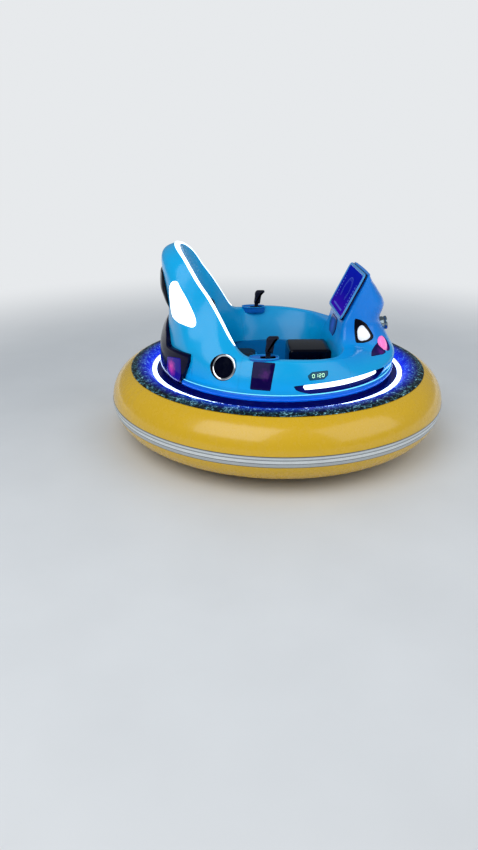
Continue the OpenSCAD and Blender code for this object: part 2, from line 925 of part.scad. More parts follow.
// Half section of a gear motor along its shaft: end bell, finned can, flange and gear head
motor_line = concat(
    [[0, 0], [30, 0], [38, 6], [42, 14]],
    [for (y = [22:12:94]) each [[42, y], [38, y + 2], [38, y + 5], [42, y + 7]]],
    [[42, 108], [48, 108], [48, 118], [44, 118], [44, 160], [36, 174], [22, 180], [22, motor_y1 - motor_y0],
     [0, motor_y1 - motor_y0]]);
bracket_half_l = 48;
spacer_r = 30;
module drive_motors() {
    rail_side = rail_y + rail_w/2;
    color("slategray")
        both_sides() {
            translate([drive_x, rail_side, drive_wheel_r])
                rotate([-90, 0, 0]) cylinder(r = bracket_half_l, h = plate_t);
            translate([drive_x - bracket_half_l, rail_side, drive_wheel_r])
                cube([2*bracket_half_l, plate_t, floor_z - drive_wheel_r]);
            translate([drive_x, rail_side + plate_t - 1, drive_wheel_r])
                rotate([-90, 0, 0]) cylinder(r = spacer_r, h = motor_y0 - rail_side - plate_t + 2);
            translate([drive_x, motor_y0, drive_wheel_r])
                rotate([-90, 0, 0]) rotate_extrude() polygon(motor_line);
            translate([drive_x, motor_y1 - 1, drive_wheel_r])
                rotate([-90, 0, 0]) cylinder(r = axle_r, h = drive_wheel_y + axle_end - motor_y1);
        }
}
tyre_w = 46;
rim_r = 66;
rim_w = 40;
barrel_r = 58;
lip_cut = 3;
web_y0 = 16;
web_y1 = 24;
hub_r = 22;
web_holes = 5;
web_hole_r = 10;
module drive_rim() {
    bore = axle_r + shaft_gap;
    translate([drive_x, drive_wheel_y - rim_w/2, drive_wheel_r])
        rotate([-90, 0, 0])
            difference() {
                rotate_extrude()
                    polygon([
                        [bore, 0], [hub_r, 0], [hub_r, web_y0], [barrel_r, web_y0], [barrel_r, lip_cut],
                        [barrel_r + lip_cut, 0], [rim_r, 0], [rim_r, rim_w], [barrel_r + lip_cut, rim_w],
                        [barrel_r, rim_w - lip_cut], [barrel_r, web_y1], [hub_r, web_y1], [hub_r, rim_w],
                        [bore, rim_w]
                    ]);
                for (deg = [0:360/web_holes:359])
                    rotate([0, 0, deg])
                        translate([(hub_r + barrel_r)/2, 0, 0]) cylinder(r = web_hole_r, h = rim_w);
            }
}
tread_round = 9;
module drive_tyre() {
    translate([drive_x, drive_wheel_y - tyre_w/2, drive_wheel_r])
        rotate([-90, 0, 0])
            rotate_extrude()
                union() {
                    square_from(rim_r + shaft_gap, 0, drive_wheel_r - tread_round, tyre_w);
                    square_from(rim_r + shaft_gap, tread_round, drive_wheel_r, tyre_w - tread_round);
                    for (y = [tread_round, tyre_w - tread_round])
                        translate([drive_wheel_r - tread_round, y]) circle(r = tread_round);
                }
}
module drive_rim_left() {
    color("silver") drive_rim();
}
module drive_tyre_left() {
    color("black") drive_tyre();
}
module drive_rim_right() {
    color("silver") mirror([0, 1, 0]) drive_rim();
}
module drive_tyre_right() {
    color("black") mirror([0, 1, 0]) drive_tyre();
}

caster_x = 400;
caster_w = 30;
fork_t = 5;
fork_gap = 3;
fork_r = 15;
yoke_t = 6;
yoke_z = 2*caster_r + 6;
yoke_r = 34;
race_r = 26;
race_gap = 2;
kingpin_top = 126;
caster_pin_r = 6;
fork_out = caster_w/2 + fork_gap + fork_t;
// Fork leg from the side: an eye round the axle that widens up to the yoke
module fork_leg() {
    union() {
        circle(r = fork_r);
        polygon([[-fork_r, 0], [fork_r, 0], [caster_trail + 20, yoke_z - caster_r + yoke_t],
                 [-fork_r - 2, yoke_z - caster_r + yoke_t]]);
    }
}
// Fork of a caster whose wheel trails behind its swivel axis
module fork(x) {
    difference() {
        union() {
            translate([x, 0, yoke_z]) cylinder(r = yoke_r, h = yoke_t);
            translate([x, 0, yoke_z]) cylinder(r = race_r, h = chassis_z - race_gap - yoke_z);
            translate([x, 0, yoke_z]) cylinder(r = kingpin_r, h = kingpin_top - yoke_z);
            translate([x - caster_trail - fork_r - 2, -fork_out, yoke_z])
                cube([caster_trail + fork_r + 2, 2*fork_out, yoke_t]);
            for (y = [-fork_out + fork_t, fork_out])
                translate([x - caster_trail, y, caster_r])
                    rotate([90, 0, 0]) linear_extrude(fork_t) fork_leg();
        }
        translate([x - caster_trail, 2*fork_out, caster_r])
            rotate([90, 0, 0]) cylinder(r = caster_pin_r + shaft_gap, h = 4*fork_out);
    }
}
// Half section of a caster wheel: hub, dished side and crowned tread
hub_side = 3;
caster_line = [
    [0, 0], [16, 0], [20, hub_side], [30, hub_side], [34, 1], [caster_r - 4, 1], [caster_r - 1, 5],
    [caster_r, 10], [caster_r, caster_w - 10], [caster_r - 1, caster_w - 5], [caster_r - 4, caster_w - 1],
    [34, caster_w - 1], [30, caster_w - hub_side], [20, caster_w - hub_side], [16, caster_w], [0, caster_w]
];
module caster_wheel(x) {
    pin_half = fork_out + 3;
    translate([x - caster_trail, caster_w/2, caster_r])
        rotate([90, 0, 0]) rotate_extrude() polygon(caster_line);
    translate([x - caster_trail, pin_half, caster_r])
        rotate([90, 0, 0]) cylinder(r = caster_pin_r, h = 2*pin_half);
}
module front_fork() {
    color("silver") fork(caster_x);
}
module front_caster_wheel() {
    color("dimgray") caster_wheel(caster_x);
}
module rear_fork() {
    color("silver") fork(-caster_x);
}
module rear_caster_wheel() {
    color("dimgray") caster_wheel(-caster_x);
}

// Steering lever: a hub on a pin, a round grip leaning forward and a wedge-shaped head
grip_r = 19;
grip_lean = 8;
grip_from = 26;
grip_to = 72;
pin_end = 12;
neck_r = 9;
head_half_w = 17;
// Side view of the head from the pin: its level top, its nose and its slanting underside
head_line = [[-8, 62], [-10, 86], [-4, lever_h - 20], [4, lever_h - 12], [44, lever_h - 12],
             [50, lever_h - 16], [49, lever_h - 22], [30, 78], [24, 62]];
module lever() {
    translate([lever_x, lever_y + lever_hub_w/2, lever_pin_z])
        rotate([90, 0, 0]) cylinder(r = lever_hub_r, h = lever_hub_w);
    translate([lever_x, lever_y + lever_hub_w/2 + pin_end, lever_pin_z])
        rotate([90, 0, 0]) cylinder(r = lever_pin_r, h = lever_hub_w + 2*pin_end);
    translate([lever_x, lever_y, lever_pin_z])
        rotate([0, grip_lean, 0]) {
            cylinder(r = neck_r, h = grip_from + 1);
            translate([0, 0, grip_from]) cylinder(r = grip_r, h = grip_to - grip_from);
        }
    translate([lever_x, lever_y + head_half_w, lever_pin_z])
        rotate([90, 0, 0]) linear_extrude(2*head_half_w) polygon(head_line);
}
module lever_left() {
    color("black") lever();
}
module lever_right() {
    color("black") mirror([0, 1, 0]) lever();
}

ring_tube();
ring_stripe();
deck_cover();
led_ring();
plinth();
body_belt();
seat_shell();
sill_left();
sill_right();
nose_shell();
arch_light();
side_lamps();
rear_cover();
tail_lamps();
speakers();
side_panels();
pods();
light_bars();
number_displays();
headlamps();
fog_lamps();
mouth_grilles();
nose_lamp();
screen_frame();
screen_glass();
console_panel();
knee_box();
cockpit_tub();
seat_box();
battery();
seat_cushion();
back_cushion();
chassis_hoop();
chassis_rails();
cross_members();
drive_motors();
lever_left();
lever_right();
drive_rim_left();
drive_tyre_left();
drive_rim_right();
drive_tyre_right();
front_fork();
front_caster_wheel();
rear_fork();
rear_caster_wheel();
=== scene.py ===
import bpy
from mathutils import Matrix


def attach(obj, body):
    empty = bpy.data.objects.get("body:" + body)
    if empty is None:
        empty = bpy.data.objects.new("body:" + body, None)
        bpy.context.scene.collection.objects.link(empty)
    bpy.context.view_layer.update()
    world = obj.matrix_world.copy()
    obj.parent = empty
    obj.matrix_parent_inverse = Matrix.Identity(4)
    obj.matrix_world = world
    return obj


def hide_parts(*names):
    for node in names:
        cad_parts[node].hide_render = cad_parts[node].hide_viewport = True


bl_info = {
    "name": "Ring Bumper Car",
    "version": (1, 0, 0),
    "blender": (4, 5, 0),
    "location": "3D View > Sidebar > Bumper Car",
    "description": "Dresses the frame of a fairground bumper car with its shells, lamps, ring and cushions",
    "category": "Object",
}

import bmesh
import bpy
import numpy as np
from mathutils import Matrix, Vector

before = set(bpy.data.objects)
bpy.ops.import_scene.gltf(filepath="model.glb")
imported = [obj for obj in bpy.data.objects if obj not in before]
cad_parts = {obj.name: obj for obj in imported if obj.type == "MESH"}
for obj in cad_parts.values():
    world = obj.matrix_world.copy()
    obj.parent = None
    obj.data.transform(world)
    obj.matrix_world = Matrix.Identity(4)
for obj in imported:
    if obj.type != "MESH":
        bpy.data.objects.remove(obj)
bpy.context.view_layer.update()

# All lengths below are millimetres, in the frame of the car: +X forward, +Y left, +Z up
MM = 0.001

# Ring, deck and plinth
RING_R = 900.0
TUBE_R = 165.0
TUBE_Z = 215.0
RING_MID = RING_R - TUBE_R
STRIPE_Z = 196.0
STRIPE_H = 58.0
DECK_OUT_R = 793.0
FOLD_R = 716.0
FOLD_Z = 378.5
GROOVE_R = 684.0
GROOVE_Z = 352.0
LED_IN_R = 657.0
LED_OUT_R = 681.0
LED_T = 5.3

# Body
BODY_R = 612.0
BODY_Z = 371.0
BELT_H = 34.0
BELT_Z = BODY_Z + BELT_H
BELT_FLAT = 10.0
SEAT_FROM = 112.0
NOSE_TO = 58.0
REAR_FROM = 140.0
BELT_TO = 143.0
COVER_FROM = 168.0
SHELL_GAP = 0.035

# A wall section at each bearing, from the front (0) round to the rear (180).
# Columns: bearing, middle radius, shoulder radius and height, lip's outer radius and height,
# lip's inner radius and height, foot radius
SECTIONS = np.array([
    (0, 628, 590, 518, 560, 566, 335, 590, 300),
    (14, 628, 588, 514, 545, 556, 338, 580, 308),
    (26, 620, 573, 498, 505, 520, 352, 540, 332),
    (38, 610, 570, 490, 512, 526, 405, 530, 380),
    (50, 603, 572, 490, 530, 524, 455, 526, 425),
    (64, 600, 575, 500, 548, 534, 508, 534, 425),
    (90, 597, 572, 520, 556, 550, 520, 550, 412),
    (108, 597, 572, 520, 554, 550, 514, 550, 420),
    (120, 600, 560, 545, 492, 590, 460, 576, 430),
    (132, 602, 530, 640, 474, 704, 445, 690, 410),
    (140, 604, 535, 690, 482, 788, 453, 775, 395),
    (146, 600, 560, 770, 512, 866, 484, 853, 380),
    (150, 597, 585, 825, 528, 920, 502, 909, 370),
    (156, 592, 600, 880, 534, 965, 508, 951, 360),
    (166, 582, 604, 930, 537, 996, 508, 984, 345),
    (180, 576, 604, 950, 537, 1010, 506, 1000, 340),
], float)
MID_RISE = 0.55
INNER_SAG = 8.0

# Level outlines of the screen housing. Columns: height, x at the rider's side, x at the front, half width
HOUSING = np.array([
    (371, 292, 590, 290),
    (410, 292, 605, 305),
    (450, 292, 615, 305),
    (500, 294, 602, 272),
    (550, 303, 580, 234),
    (600, 311, 553, 206),
    (640, 321, 541, 196),
    (690, 345, 556, 190),
    (722, 361, 555, 188),
    (790, 394, 512, 187),
    (850, 423, 468, 185),
    (876, 436, 452, 184),
], float)
BACK_SQUARE = 7.0
FRONT_ROUND = 2.6
WIDEST_AT = 0.3
# Points whose distance to the nose is worked out at once
CHUNK = 12000
# Depths between which a line through a frame is searched for the surface, and the number of halvings
DRAPE_FROM = -90.0
DRAPE_TO = 60.0
DRAPE_STEPS = 22
# The sign of y on each side of the car
SIDES = {"left": 1, "right": -1}


def hermite(y0, y1, y2, y3, s0, s1, t):
    """Cubic through y1 and y2 whose end slopes come from the neighbours, scaled by s0 and s1."""
    t2, t3 = t * t, t * t * t
    return ((2 * t3 - 3 * t2 + 1) * y1 + (t3 - 2 * t2 + t) * (y2 - y0) * s0
            + (3 * t2 - 2 * t3) * y2 + (t3 - t2) * (y3 - y1) * s1)


def sections_at(bearing):
    """Rows of the section table at any bearings: smooth cubic between rows, mirrored past 0 and 180."""
    deg = np.abs((np.asarray(bearing, float) + 180) % 360 - 180)
    turn = np.r_[-1, np.ones(8)]
    shift = np.r_[360, np.zeros(8)]
    table = np.vstack([SECTIONS[1] * turn, SECTIONS, SECTIONS[-2] * turn + shift])
    k = np.clip(np.searchsorted(table[:, 0], deg, side="right") - 1, 1, len(table) - 3)
    a, b, c, d = table[k - 1], table[k], table[k + 1], table[k + 2]
    h = (c[:, 0] - b[:, 0])[:, None]
    t = (deg - b[:, 0])[:, None] / h
    return hermite(a, b, c, d, h / (c[:, :1] - a[:, :1]), h / (d[:, :1] - b[:, :1]), t)[:, 1:]


def along(stations, t):
    """Points at the shares t of a Catmull-Rom line through stations, an array (stations, lines, 2)."""
    n = len(stations) - 1
    k = np.minimum((t * n).astype(int), n - 1)
    u = (t * n - k)[:, None, None]
    p = [stations[np.clip(k + j, 0, n)] for j in (-1, 0, 1, 2)]
    return hermite(*p, 0.5, 0.5, u)


def outer_lines(bearing, steps):
    """Outer side of the wall at each bearing: belt, middle, shoulder, lip. Shape (bearings, steps, 2)."""
    row = sections_at(bearing)
    one = np.ones(len(row))
    stations = np.array([
        [BODY_R * one, BELT_Z * one],
        [row[:, 0], BELT_Z + MID_RISE * (row[:, 2] - BELT_Z)],
        [row[:, 1], row[:, 2]],
        [row[:, 3], row[:, 4]],
    ]).transpose(0, 2, 1)
    return along(stations, np.linspace(0, 1, steps)).transpose(1, 0, 2)


def inner_lines(bearing, steps):
    """Inner side of the wall: a line from the lip to the foot that sags by a half sine."""
    row = sections_at(bearing)
    t = np.linspace(0, 1, steps)[None]
    r = row[:, 5:6] + (row[:, 7:8] - row[:, 5:6]) * t - INNER_SAG * np.sin(np.pi * t)
    return np.stack([r, row[:, 6:7] + (BODY_Z - row[:, 6:7]) * t], -1)


def rounded_corner(before, corner, after, reach, steps):
    """Quadratic curve that replaces a corner: it leaves the line to before and joins the line to after."""
    def unit(v):
        return v / np.linalg.norm(v, axis=-1, keepdims=True)
    p0 = corner + unit(before - corner) * reach[:, None]
    p2 = corner + unit(after - corner) * reach[:, None]
    t = np.linspace(0, 1, steps)[None, :, None]
    return (1 - t) ** 2 * p0[:, None] + 2 * t * (1 - t) * corner[:, None] + t ** 2 * p2[:, None]


def shortened(lines, lengths, steps):
    """Each line (points, 2) resampled evenly by its parameter, less the length given at its end."""
    n = lines.shape[1] - 1
    pace = np.linalg.norm(lines[:, -1] - lines[:, -4], axis=1) / 3
    at = np.linspace(0, 1, steps)[None] * (n - lengths / pace)[:, None]
    k = np.minimum(at.astype(int), n - 1)
    i = np.arange(len(lines))[:, None]
    share = (at - k)[..., None]
    return lines[i, k] * (1 - share) + lines[i, k + 1] * share


def wall_loops(bearing, outer_steps=40, inner_steps=14):
    """Closed wall sections: outer line, rounded lip, inner line. Shape (bearings, points, 2)."""
    bearing = np.asarray(bearing, float)
    outer, inner = outer_lines(bearing, 91), inner_lines(bearing, inner_steps)
    deg = np.abs((bearing + 180) % 360 - 180)
    reach = np.interp(deg, [0, 112, 120], [9, 9, 2.6])
    tip, back = outer[:, -1], inner[:, 0]
    side = shortened(outer, reach, outer_steps)
    lip_out = rounded_corner(side[:, -1], tip, back, reach, 6)
    lip_in = rounded_corner(tip, back, inner[:, 1], reach, 6)
    base = np.tile(np.array([[BODY_R, BODY_Z]]), (len(bearing), 1, 1))
    return np.concatenate([base, side[:, :-1], lip_out, lip_in, inner[:, 1:]], 1)


def spin(rz, bearing):
    """Points (radius, height) turned to their bearings in degrees, given for each row or for each point."""
    a = np.radians(np.asarray(bearing, float))
    if a.ndim == 1:
        a = a[:, None]
    return np.stack([rz[..., 0] * np.cos(a), rz[..., 0] * np.sin(a), rz[..., 1] + 0 * a], -1)


def housing_at(z):
    """Rows (x back, x front, half width) of the housing at heights z, by Catmull-Rom between levels."""
    n = len(HOUSING) - 1
    s = np.interp(z, HOUSING[:, 0], np.arange(n + 1))
    k = np.minimum(s.astype(int), n - 1)
    p = [HOUSING[np.clip(k + j, 0, n), 1:] for j in (-1, 0, 1, 2)]
    return hermite(*p, 0.5, 0.5, (s - k)[:, None])


def housing_outline(z, angle):
    """Rounded level outline: |x/a|^n + |y/b|^n = 1, squarer to the back. Shape (heights, angles, 3)."""
    x_back, x_front, half = (v[:, None] for v in housing_at(z).T)
    c, s = np.cos(angle)[None], np.sin(angle)[None]
    power = np.where(c < 0, BACK_SQUARE, FRONT_ROUND)
    mid = x_back + WIDEST_AT * (x_front - x_back)
    reach = np.where(c < 0, mid - x_back, x_front - mid)
    x = mid + reach * np.sign(c) * np.abs(c) ** (2 / power)
    y = half * np.sign(s) * np.abs(s) ** (2 / power)
    return np.stack([x, y, np.broadcast_to(np.asarray(z, float)[:, None], x.shape)], -1)


def polygon_distance(points, loops):
    """Signed distance from each 2D point to its own closed loop (points, corners, 2), negative inside."""
    a = loops
    b = np.roll(loops, -1, axis=1)
    d = b - a
    w = points[:, None] - a
    share = np.clip((w * d).sum(-1) / np.maximum((d * d).sum(-1), 1e-9), 0, 1)
    dist = np.sqrt(((w - share[..., None] * d) ** 2).sum(-1).min(1))
    up = a[..., 1] <= points[:, None, 1]
    crossing = up != (b[..., 1] <= points[:, None, 1])
    side = d[..., 0] * w[..., 1] - d[..., 1] * w[..., 0]
    inside = (crossing & (up == (side > 0))).sum(1) % 2 == 1
    return np.where(inside, -dist, dist)


def wall_distance(p):
    """Signed distance to the wall, measured in the upright plane through the car's axis."""
    bearing = np.degrees(np.arctan2(p[:, 1], p[:, 0]))
    flat = np.stack([np.hypot(p[:, 0], p[:, 1]), p[:, 2]], 1)
    return polygon_distance(flat, wall_loops(bearing, 18, 8))


def whole_turn(count):
    """Evenly spaced angles of a whole turn, in radians."""
    return np.linspace(0, 2 * np.pi, count, endpoint=False)


def housing_distance(p):
    """Signed distance to the housing, measured in the level plane and up to its top."""
    loops = housing_outline(p[:, 2], whole_turn(72))[..., :2]
    level = polygon_distance(p[:, :2], loops)
    return np.maximum(level, p[:, 2] - HOUSING[-1, 0])


def nose_distance(p):
    """Wall and housing joined by a smooth minimum: min(a, b) less blend / 4 times (1 - |a-b| / blend)^2."""
    a, b = wall_distance(p), housing_distance(p)
    blend = sizes().blend / MM
    overlap = np.maximum(blend - np.abs(a - b), 0) / blend
    return np.minimum(a, b) - overlap ** 2 * blend / 4


def nose_field(p):
    """The nose's distance, worked out a chunk at a time to keep memory small."""
    return np.concatenate([nose_distance(p[i:i + CHUNK]) for i in range(0, len(p), CHUNK)])


def wall_radius(bearing, z):
    """Radius of the wall's outer side at each bearing and height, between the points of its section."""
    shape = np.shape(z)
    bearing, z = np.broadcast_to(bearing, shape).ravel(), np.ravel(z)
    lines = outer_lines(bearing, 40)
    k = np.clip((lines[..., 1] < z[:, None]).sum(1) - 1, 0, lines.shape[1] - 2)
    i = np.arange(len(z))
    z0, z1 = lines[i, k, 1], lines[i, k + 1, 1]
    share = np.clip((z - z0) / np.maximum(z1 - z0, 1e-6), 0, 1)
    return (lines[i, k, 0] + share * (lines[i, k + 1, 0] - lines[i, k, 0])).reshape(shape)


def shell_field(p):
    """Distance outside the wall's outer side, by radius at the point's own height."""
    bearing = np.degrees(np.arctan2(p[:, 1], p[:, 0]))
    return np.hypot(p[:, 0], p[:, 1]) - wall_radius(bearing, p[:, 2])


class Facing:
    """A frame on the surface: x runs level, y runs up and z points out along a bearing, leaning up."""

    def __init__(self, at, yaw, lean):
        y, l = np.radians(yaw), np.radians(lean)
        self.at = np.array(at, float)
        self.axes = np.array([
            (-np.sin(y), np.cos(y), 0),
            (-np.cos(y) * np.sin(l), -np.sin(y) * np.sin(l), np.cos(l)),
            (np.cos(y) * np.cos(l), np.sin(y) * np.cos(l), np.sin(l)),
        ])

    def place(self, local):
        """Points of the frame as points of the car."""
        return self.at + np.asarray(local, float) @ self.axes

    def local(self, points):
        """Points of the car as points of the frame."""
        return (points - self.at) @ self.axes.T

    def moved(self, x):
        """The frame itself, moved level along its own x."""
        self.at = self.place((x, 0, 0))
        return self

    def ring(self, loop, height):
        """A loop's (x, y) points as points of the car, at one height or at a height each."""
        return self.place(np.column_stack([loop, height + np.zeros(len(loop))]))

    def drape(self, loop, field):
        """Depth along the frame's z where a line through each (x, y) meets the field's zero, by halving."""
        lo, hi = np.full(len(loop), DRAPE_FROM), np.full(len(loop), DRAPE_TO)
        for _ in range(DRAPE_STEPS):
            mid = (lo + hi) / 2
            outside = field(self.ring(loop, mid)) > 0
            hi = np.where(outside, mid, hi)
            lo = np.where(outside, lo, mid)
        return (lo + hi) / 2


# The car's own frame, for level rings
LEVEL = Facing((0, 0, 0), -90, 90)
# The view from the right side: x forward, y up and z to the right
SIDEWAYS = -90, 0


def grid_quads(rows, cols, wrap_rows=False, wrap_cols=False):
    """Quads of a grid of points, closed along either side where it wraps."""
    i = np.arange(rows if wrap_rows else rows - 1)[:, None]
    j = np.arange(cols if wrap_cols else cols - 1)[None]
    i2, j2 = (i + 1) % rows, (j + 1) % cols
    quads = np.stack([i * cols + j, i2 * cols + j, i2 * cols + j2, i * cols + j2], -1)
    return quads.reshape(-1, 4)


def grid_part(grid, wrap_rows=False, wrap_cols=False, caps=False, slot=0):
    """A part (points, faces, material slot) from a grid. Caps close the first and last row."""
    rows, cols = grid.shape[:2]
    faces = grid_quads(rows, cols, wrap_rows, wrap_cols).tolist()
    if caps:
        faces.append(list(range(cols)))
        faces.append(list(range((rows - 1) * cols, rows * cols)))
    return grid.reshape(-1, 3), faces, slot


def ringed(rings, facing=LEVEL, slot=0, hollow=False):
    """A part from (loop, height) rings in a frame. Its ends are capped. A hollow part closes from its last
    ring to the first one instead."""
    grid = np.array([facing.ring(loop, height) for loop, height in rings])
    return grid_part(grid, wrap_rows=hollow, wrap_cols=True, caps=not hollow, slot=slot)


def on_side(parts, sign):
    """Parts made for the left side, turned over to the right side where sign is -1."""
    return [(points * (1, sign, 1), faces, slot) for points, faces, slot in parts]


def mirrored(parts):
    """The parts and their mirror images on the car's other side."""
    return parts + on_side(parts, -1)


def make_mesh(name, parts, open_sheet=False):
    """One mesh from parts in millimetres: doubles merged, and each closed part turned outward."""
    whole = bmesh.new()
    for points, faces, slot in parts:
        mesh = bpy.data.meshes.new(name)
        mesh.from_pydata((np.asarray(points) * MM).tolist(), [], faces)
        mesh.polygons.foreach_set("material_index", np.full(len(faces), slot))
        bm = bmesh.new()
        bm.from_mesh(mesh)
        bmesh.ops.remove_doubles(bm, verts=bm.verts, dist=1e-6)
        bmesh.ops.dissolve_degenerate(bm, dist=1e-7, edges=bm.edges)
        if not open_sheet:
            bmesh.ops.recalc_face_normals(bm, faces=bm.faces)
            if bm.calc_volume(signed=True) < 0:
                bmesh.ops.reverse_faces(bm, faces=bm.faces)
        bm.to_mesh(mesh)
        bm.free()
        whole.from_mesh(mesh)
        bpy.data.meshes.remove(mesh)
    mesh = bpy.data.meshes.new(name)
    whole.to_mesh(mesh)
    whole.free()
    return mesh


def smooth(mesh, angle):
    """Smooth shading, sharp where two faces meet at more than the angle."""
    mesh.shade_smooth()
    mesh.set_sharp_from_angle(angle=np.radians(angle))


def set_materials(mesh, materials):
    """The materials in the mesh's slots, in their order. Its faces keep their slot numbers."""
    while len(mesh.materials) > len(materials):
        mesh.materials.pop()
    while len(mesh.materials) < len(materials):
        mesh.materials.append(None)
    for k, material in enumerate(materials):
        mesh.materials[k] = material


def linked(name, data):
    """A new object in the scene."""
    obj = bpy.data.objects.new(name, data)
    bpy.context.scene.collection.objects.link(obj)
    return obj


def evaluated(obj):
    """The object's mesh with its modifiers applied, as a mesh of its own."""
    return bpy.data.meshes.new_from_object(obj.evaluated_get(bpy.context.evaluated_depsgraph_get()))


def piece(name, parts, finishes, body="body", replaces=(), angle=32, open_sheet=False):
    """A finished piece: its mesh, its finishes by name, and the body that it rides on."""
    mesh = parts if isinstance(parts, bpy.types.Mesh) else make_mesh(name, parts, open_sheet)
    smooth(mesh, angle)
    set_materials(mesh, [finish_of(finish) for finish in finishes])
    obj = linked(name, mesh)
    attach(obj, body)
    if replaces:
        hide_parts(*replaces)
    return obj


def cut(mesh, cutters):
    """The mesh less closed parts. The faces that a cutter leaves keep its slot number, which carries over
    only where the mesh and the cutters have two different materials."""
    slots = [finish_of("gelcoat"), finish_of("recess_blue")]
    set_materials(mesh, slots)
    base = linked("cut_base", mesh)
    tools = []
    for part in cutters:
        cutter = make_mesh("cutter", [part])
        set_materials(cutter, slots)
        tool = linked("cutter", cutter)
        step = base.modifiers.new("cut", "BOOLEAN")
        step.operation = "DIFFERENCE"
        step.solver = "EXACT"
        step.object = tool
        tools.append(tool)
    result = evaluated(base)
    for obj in [base, *tools]:
        bpy.data.objects.remove(obj)
    return result


def resampled(loop, count):
    """A closed loop's points, evenly spaced."""
    closed = np.vstack([loop, loop[:1]])
    run = np.r_[0, np.cumsum(np.linalg.norm(np.diff(closed, axis=0), axis=1))]
    at = np.linspace(0, run[-1], count, endpoint=False)
    return np.stack([np.interp(at, run, closed[:, k]) for k in (0, 1)], 1)


def softened(outline, radius, count=128):
    """A closed outline whose corners are quadratic curves that start at most radius before each corner."""
    p = np.array(outline, float)
    before, after = np.roll(p, 1, axis=0), np.roll(p, -1, axis=0)
    reach = np.minimum(radius, 0.46 * np.minimum(
        np.linalg.norm(before - p, axis=1), np.linalg.norm(after - p, axis=1)))
    curves = rounded_corner(before, p, after, reach, 7)
    return resampled(curves.reshape(-1, 2), count)


def rect_loop(half_x, half_y, radius, count=160):
    """A rectangle with round corners, as a closed loop."""
    corners = [(-half_x, -half_y), (half_x, -half_y), (half_x, half_y), (-half_x, half_y)]
    return softened(corners, radius, count)


def offset_loop(loop, distance):
    """A closed loop moved outwards along its own normals, whichever way it turns."""
    tangent = np.roll(loop, -1, axis=0) - np.roll(loop, 1, axis=0)
    normal = np.stack([tangent[:, 1], -tangent[:, 0]], 1)
    normal /= np.maximum(np.linalg.norm(normal, axis=1, keepdims=True), 1e-9)
    area = (loop[:, 0] * np.roll(loop[:, 1], -1) - loop[:, 1] * np.roll(loop[:, 0], -1)).sum()
    return loop + normal * distance * np.sign(area)


def rounded_block(loop, low, high, edge, facing=LEVEL, steps=9):
    """A closed block over a loop between two heights. Its edges are quarter rounds of radius edge."""
    turns = [(offset_loop(loop, -edge * (1 - np.sin(t))), edge * (1 - np.cos(t)))
             for t in np.linspace(0, np.pi / 2, steps)]
    return ringed([(ring, low + rise) for ring, rise in turns]
                  + [(ring, high - rise) for ring, rise in turns[::-1]], facing)


def lens_part(facing, loop, field, profile, slot=0, to_middle=False):
    """A draped plate: rings of the loop, inset by the first column of profile, each at the surface plus the
    second column. The last ring closes it; with to_middle more rings lead there along the surface."""
    middle = loop.mean(0)
    span = np.abs(loop - middle).max()
    steps = [(1 - inset / span, height) for inset, height in profile]
    if to_middle:
        share, height = steps[-1]
        steps += [(share * k, height) for k in (0.82, 0.64, 0.46, 0.30, 0.16)]
    rings = []
    for share, height in steps:
        ring = middle + (loop - middle) * share
        rings.append((ring, facing.drape(ring, field) + height))
    return ringed(rings, facing, slot)


def lathe_part(profile, start=0.0, end=360.0, steps=360):
    """A profile of (radius, height) points turned about the car's axis between two bearings, with flat ends
    where it isn't a whole turn."""
    whole = end - start >= 360
    bearing = np.linspace(start, end, steps, endpoint=not whole)
    rz = np.tile(np.array(profile, float)[None], (steps, 1, 1))
    return grid_part(spin(rz, bearing), wrap_rows=whole, wrap_cols=True, caps=not whole)


def lathe_about(profile, facing, steps=64, slot=0):
    """A profile of (radius, height) turned about a facing frame's z axis. It starts and ends on the axis."""
    a = whole_turn(steps)[:, None]
    rz = np.array(profile, float)
    local = np.stack([np.cos(a) * rz[:, 0], np.sin(a) * rz[:, 0], rz[:, 1] + 0 * a], -1)
    return grid_part(facing.place(local.reshape(-1, 3)).reshape(local.shape), wrap_rows=True, slot=slot)


def ripples(x, y, count, low, high, seed):
    """Sum of plane waves in random directions, between two wave numbers, scaled to about 1."""
    rng = np.random.default_rng(seed)
    angle = rng.uniform(0, 2 * np.pi, count)
    number = rng.uniform(low, high, count)
    phase = rng.uniform(0, 2 * np.pi, count)
    total = np.zeros(np.broadcast(x, y).shape)
    for a, k, p in zip(angle, number, phase):
        total += np.sin(k * (x * np.cos(a) + y * np.sin(a)) + p)
    return total / np.sqrt(count)


# Settings

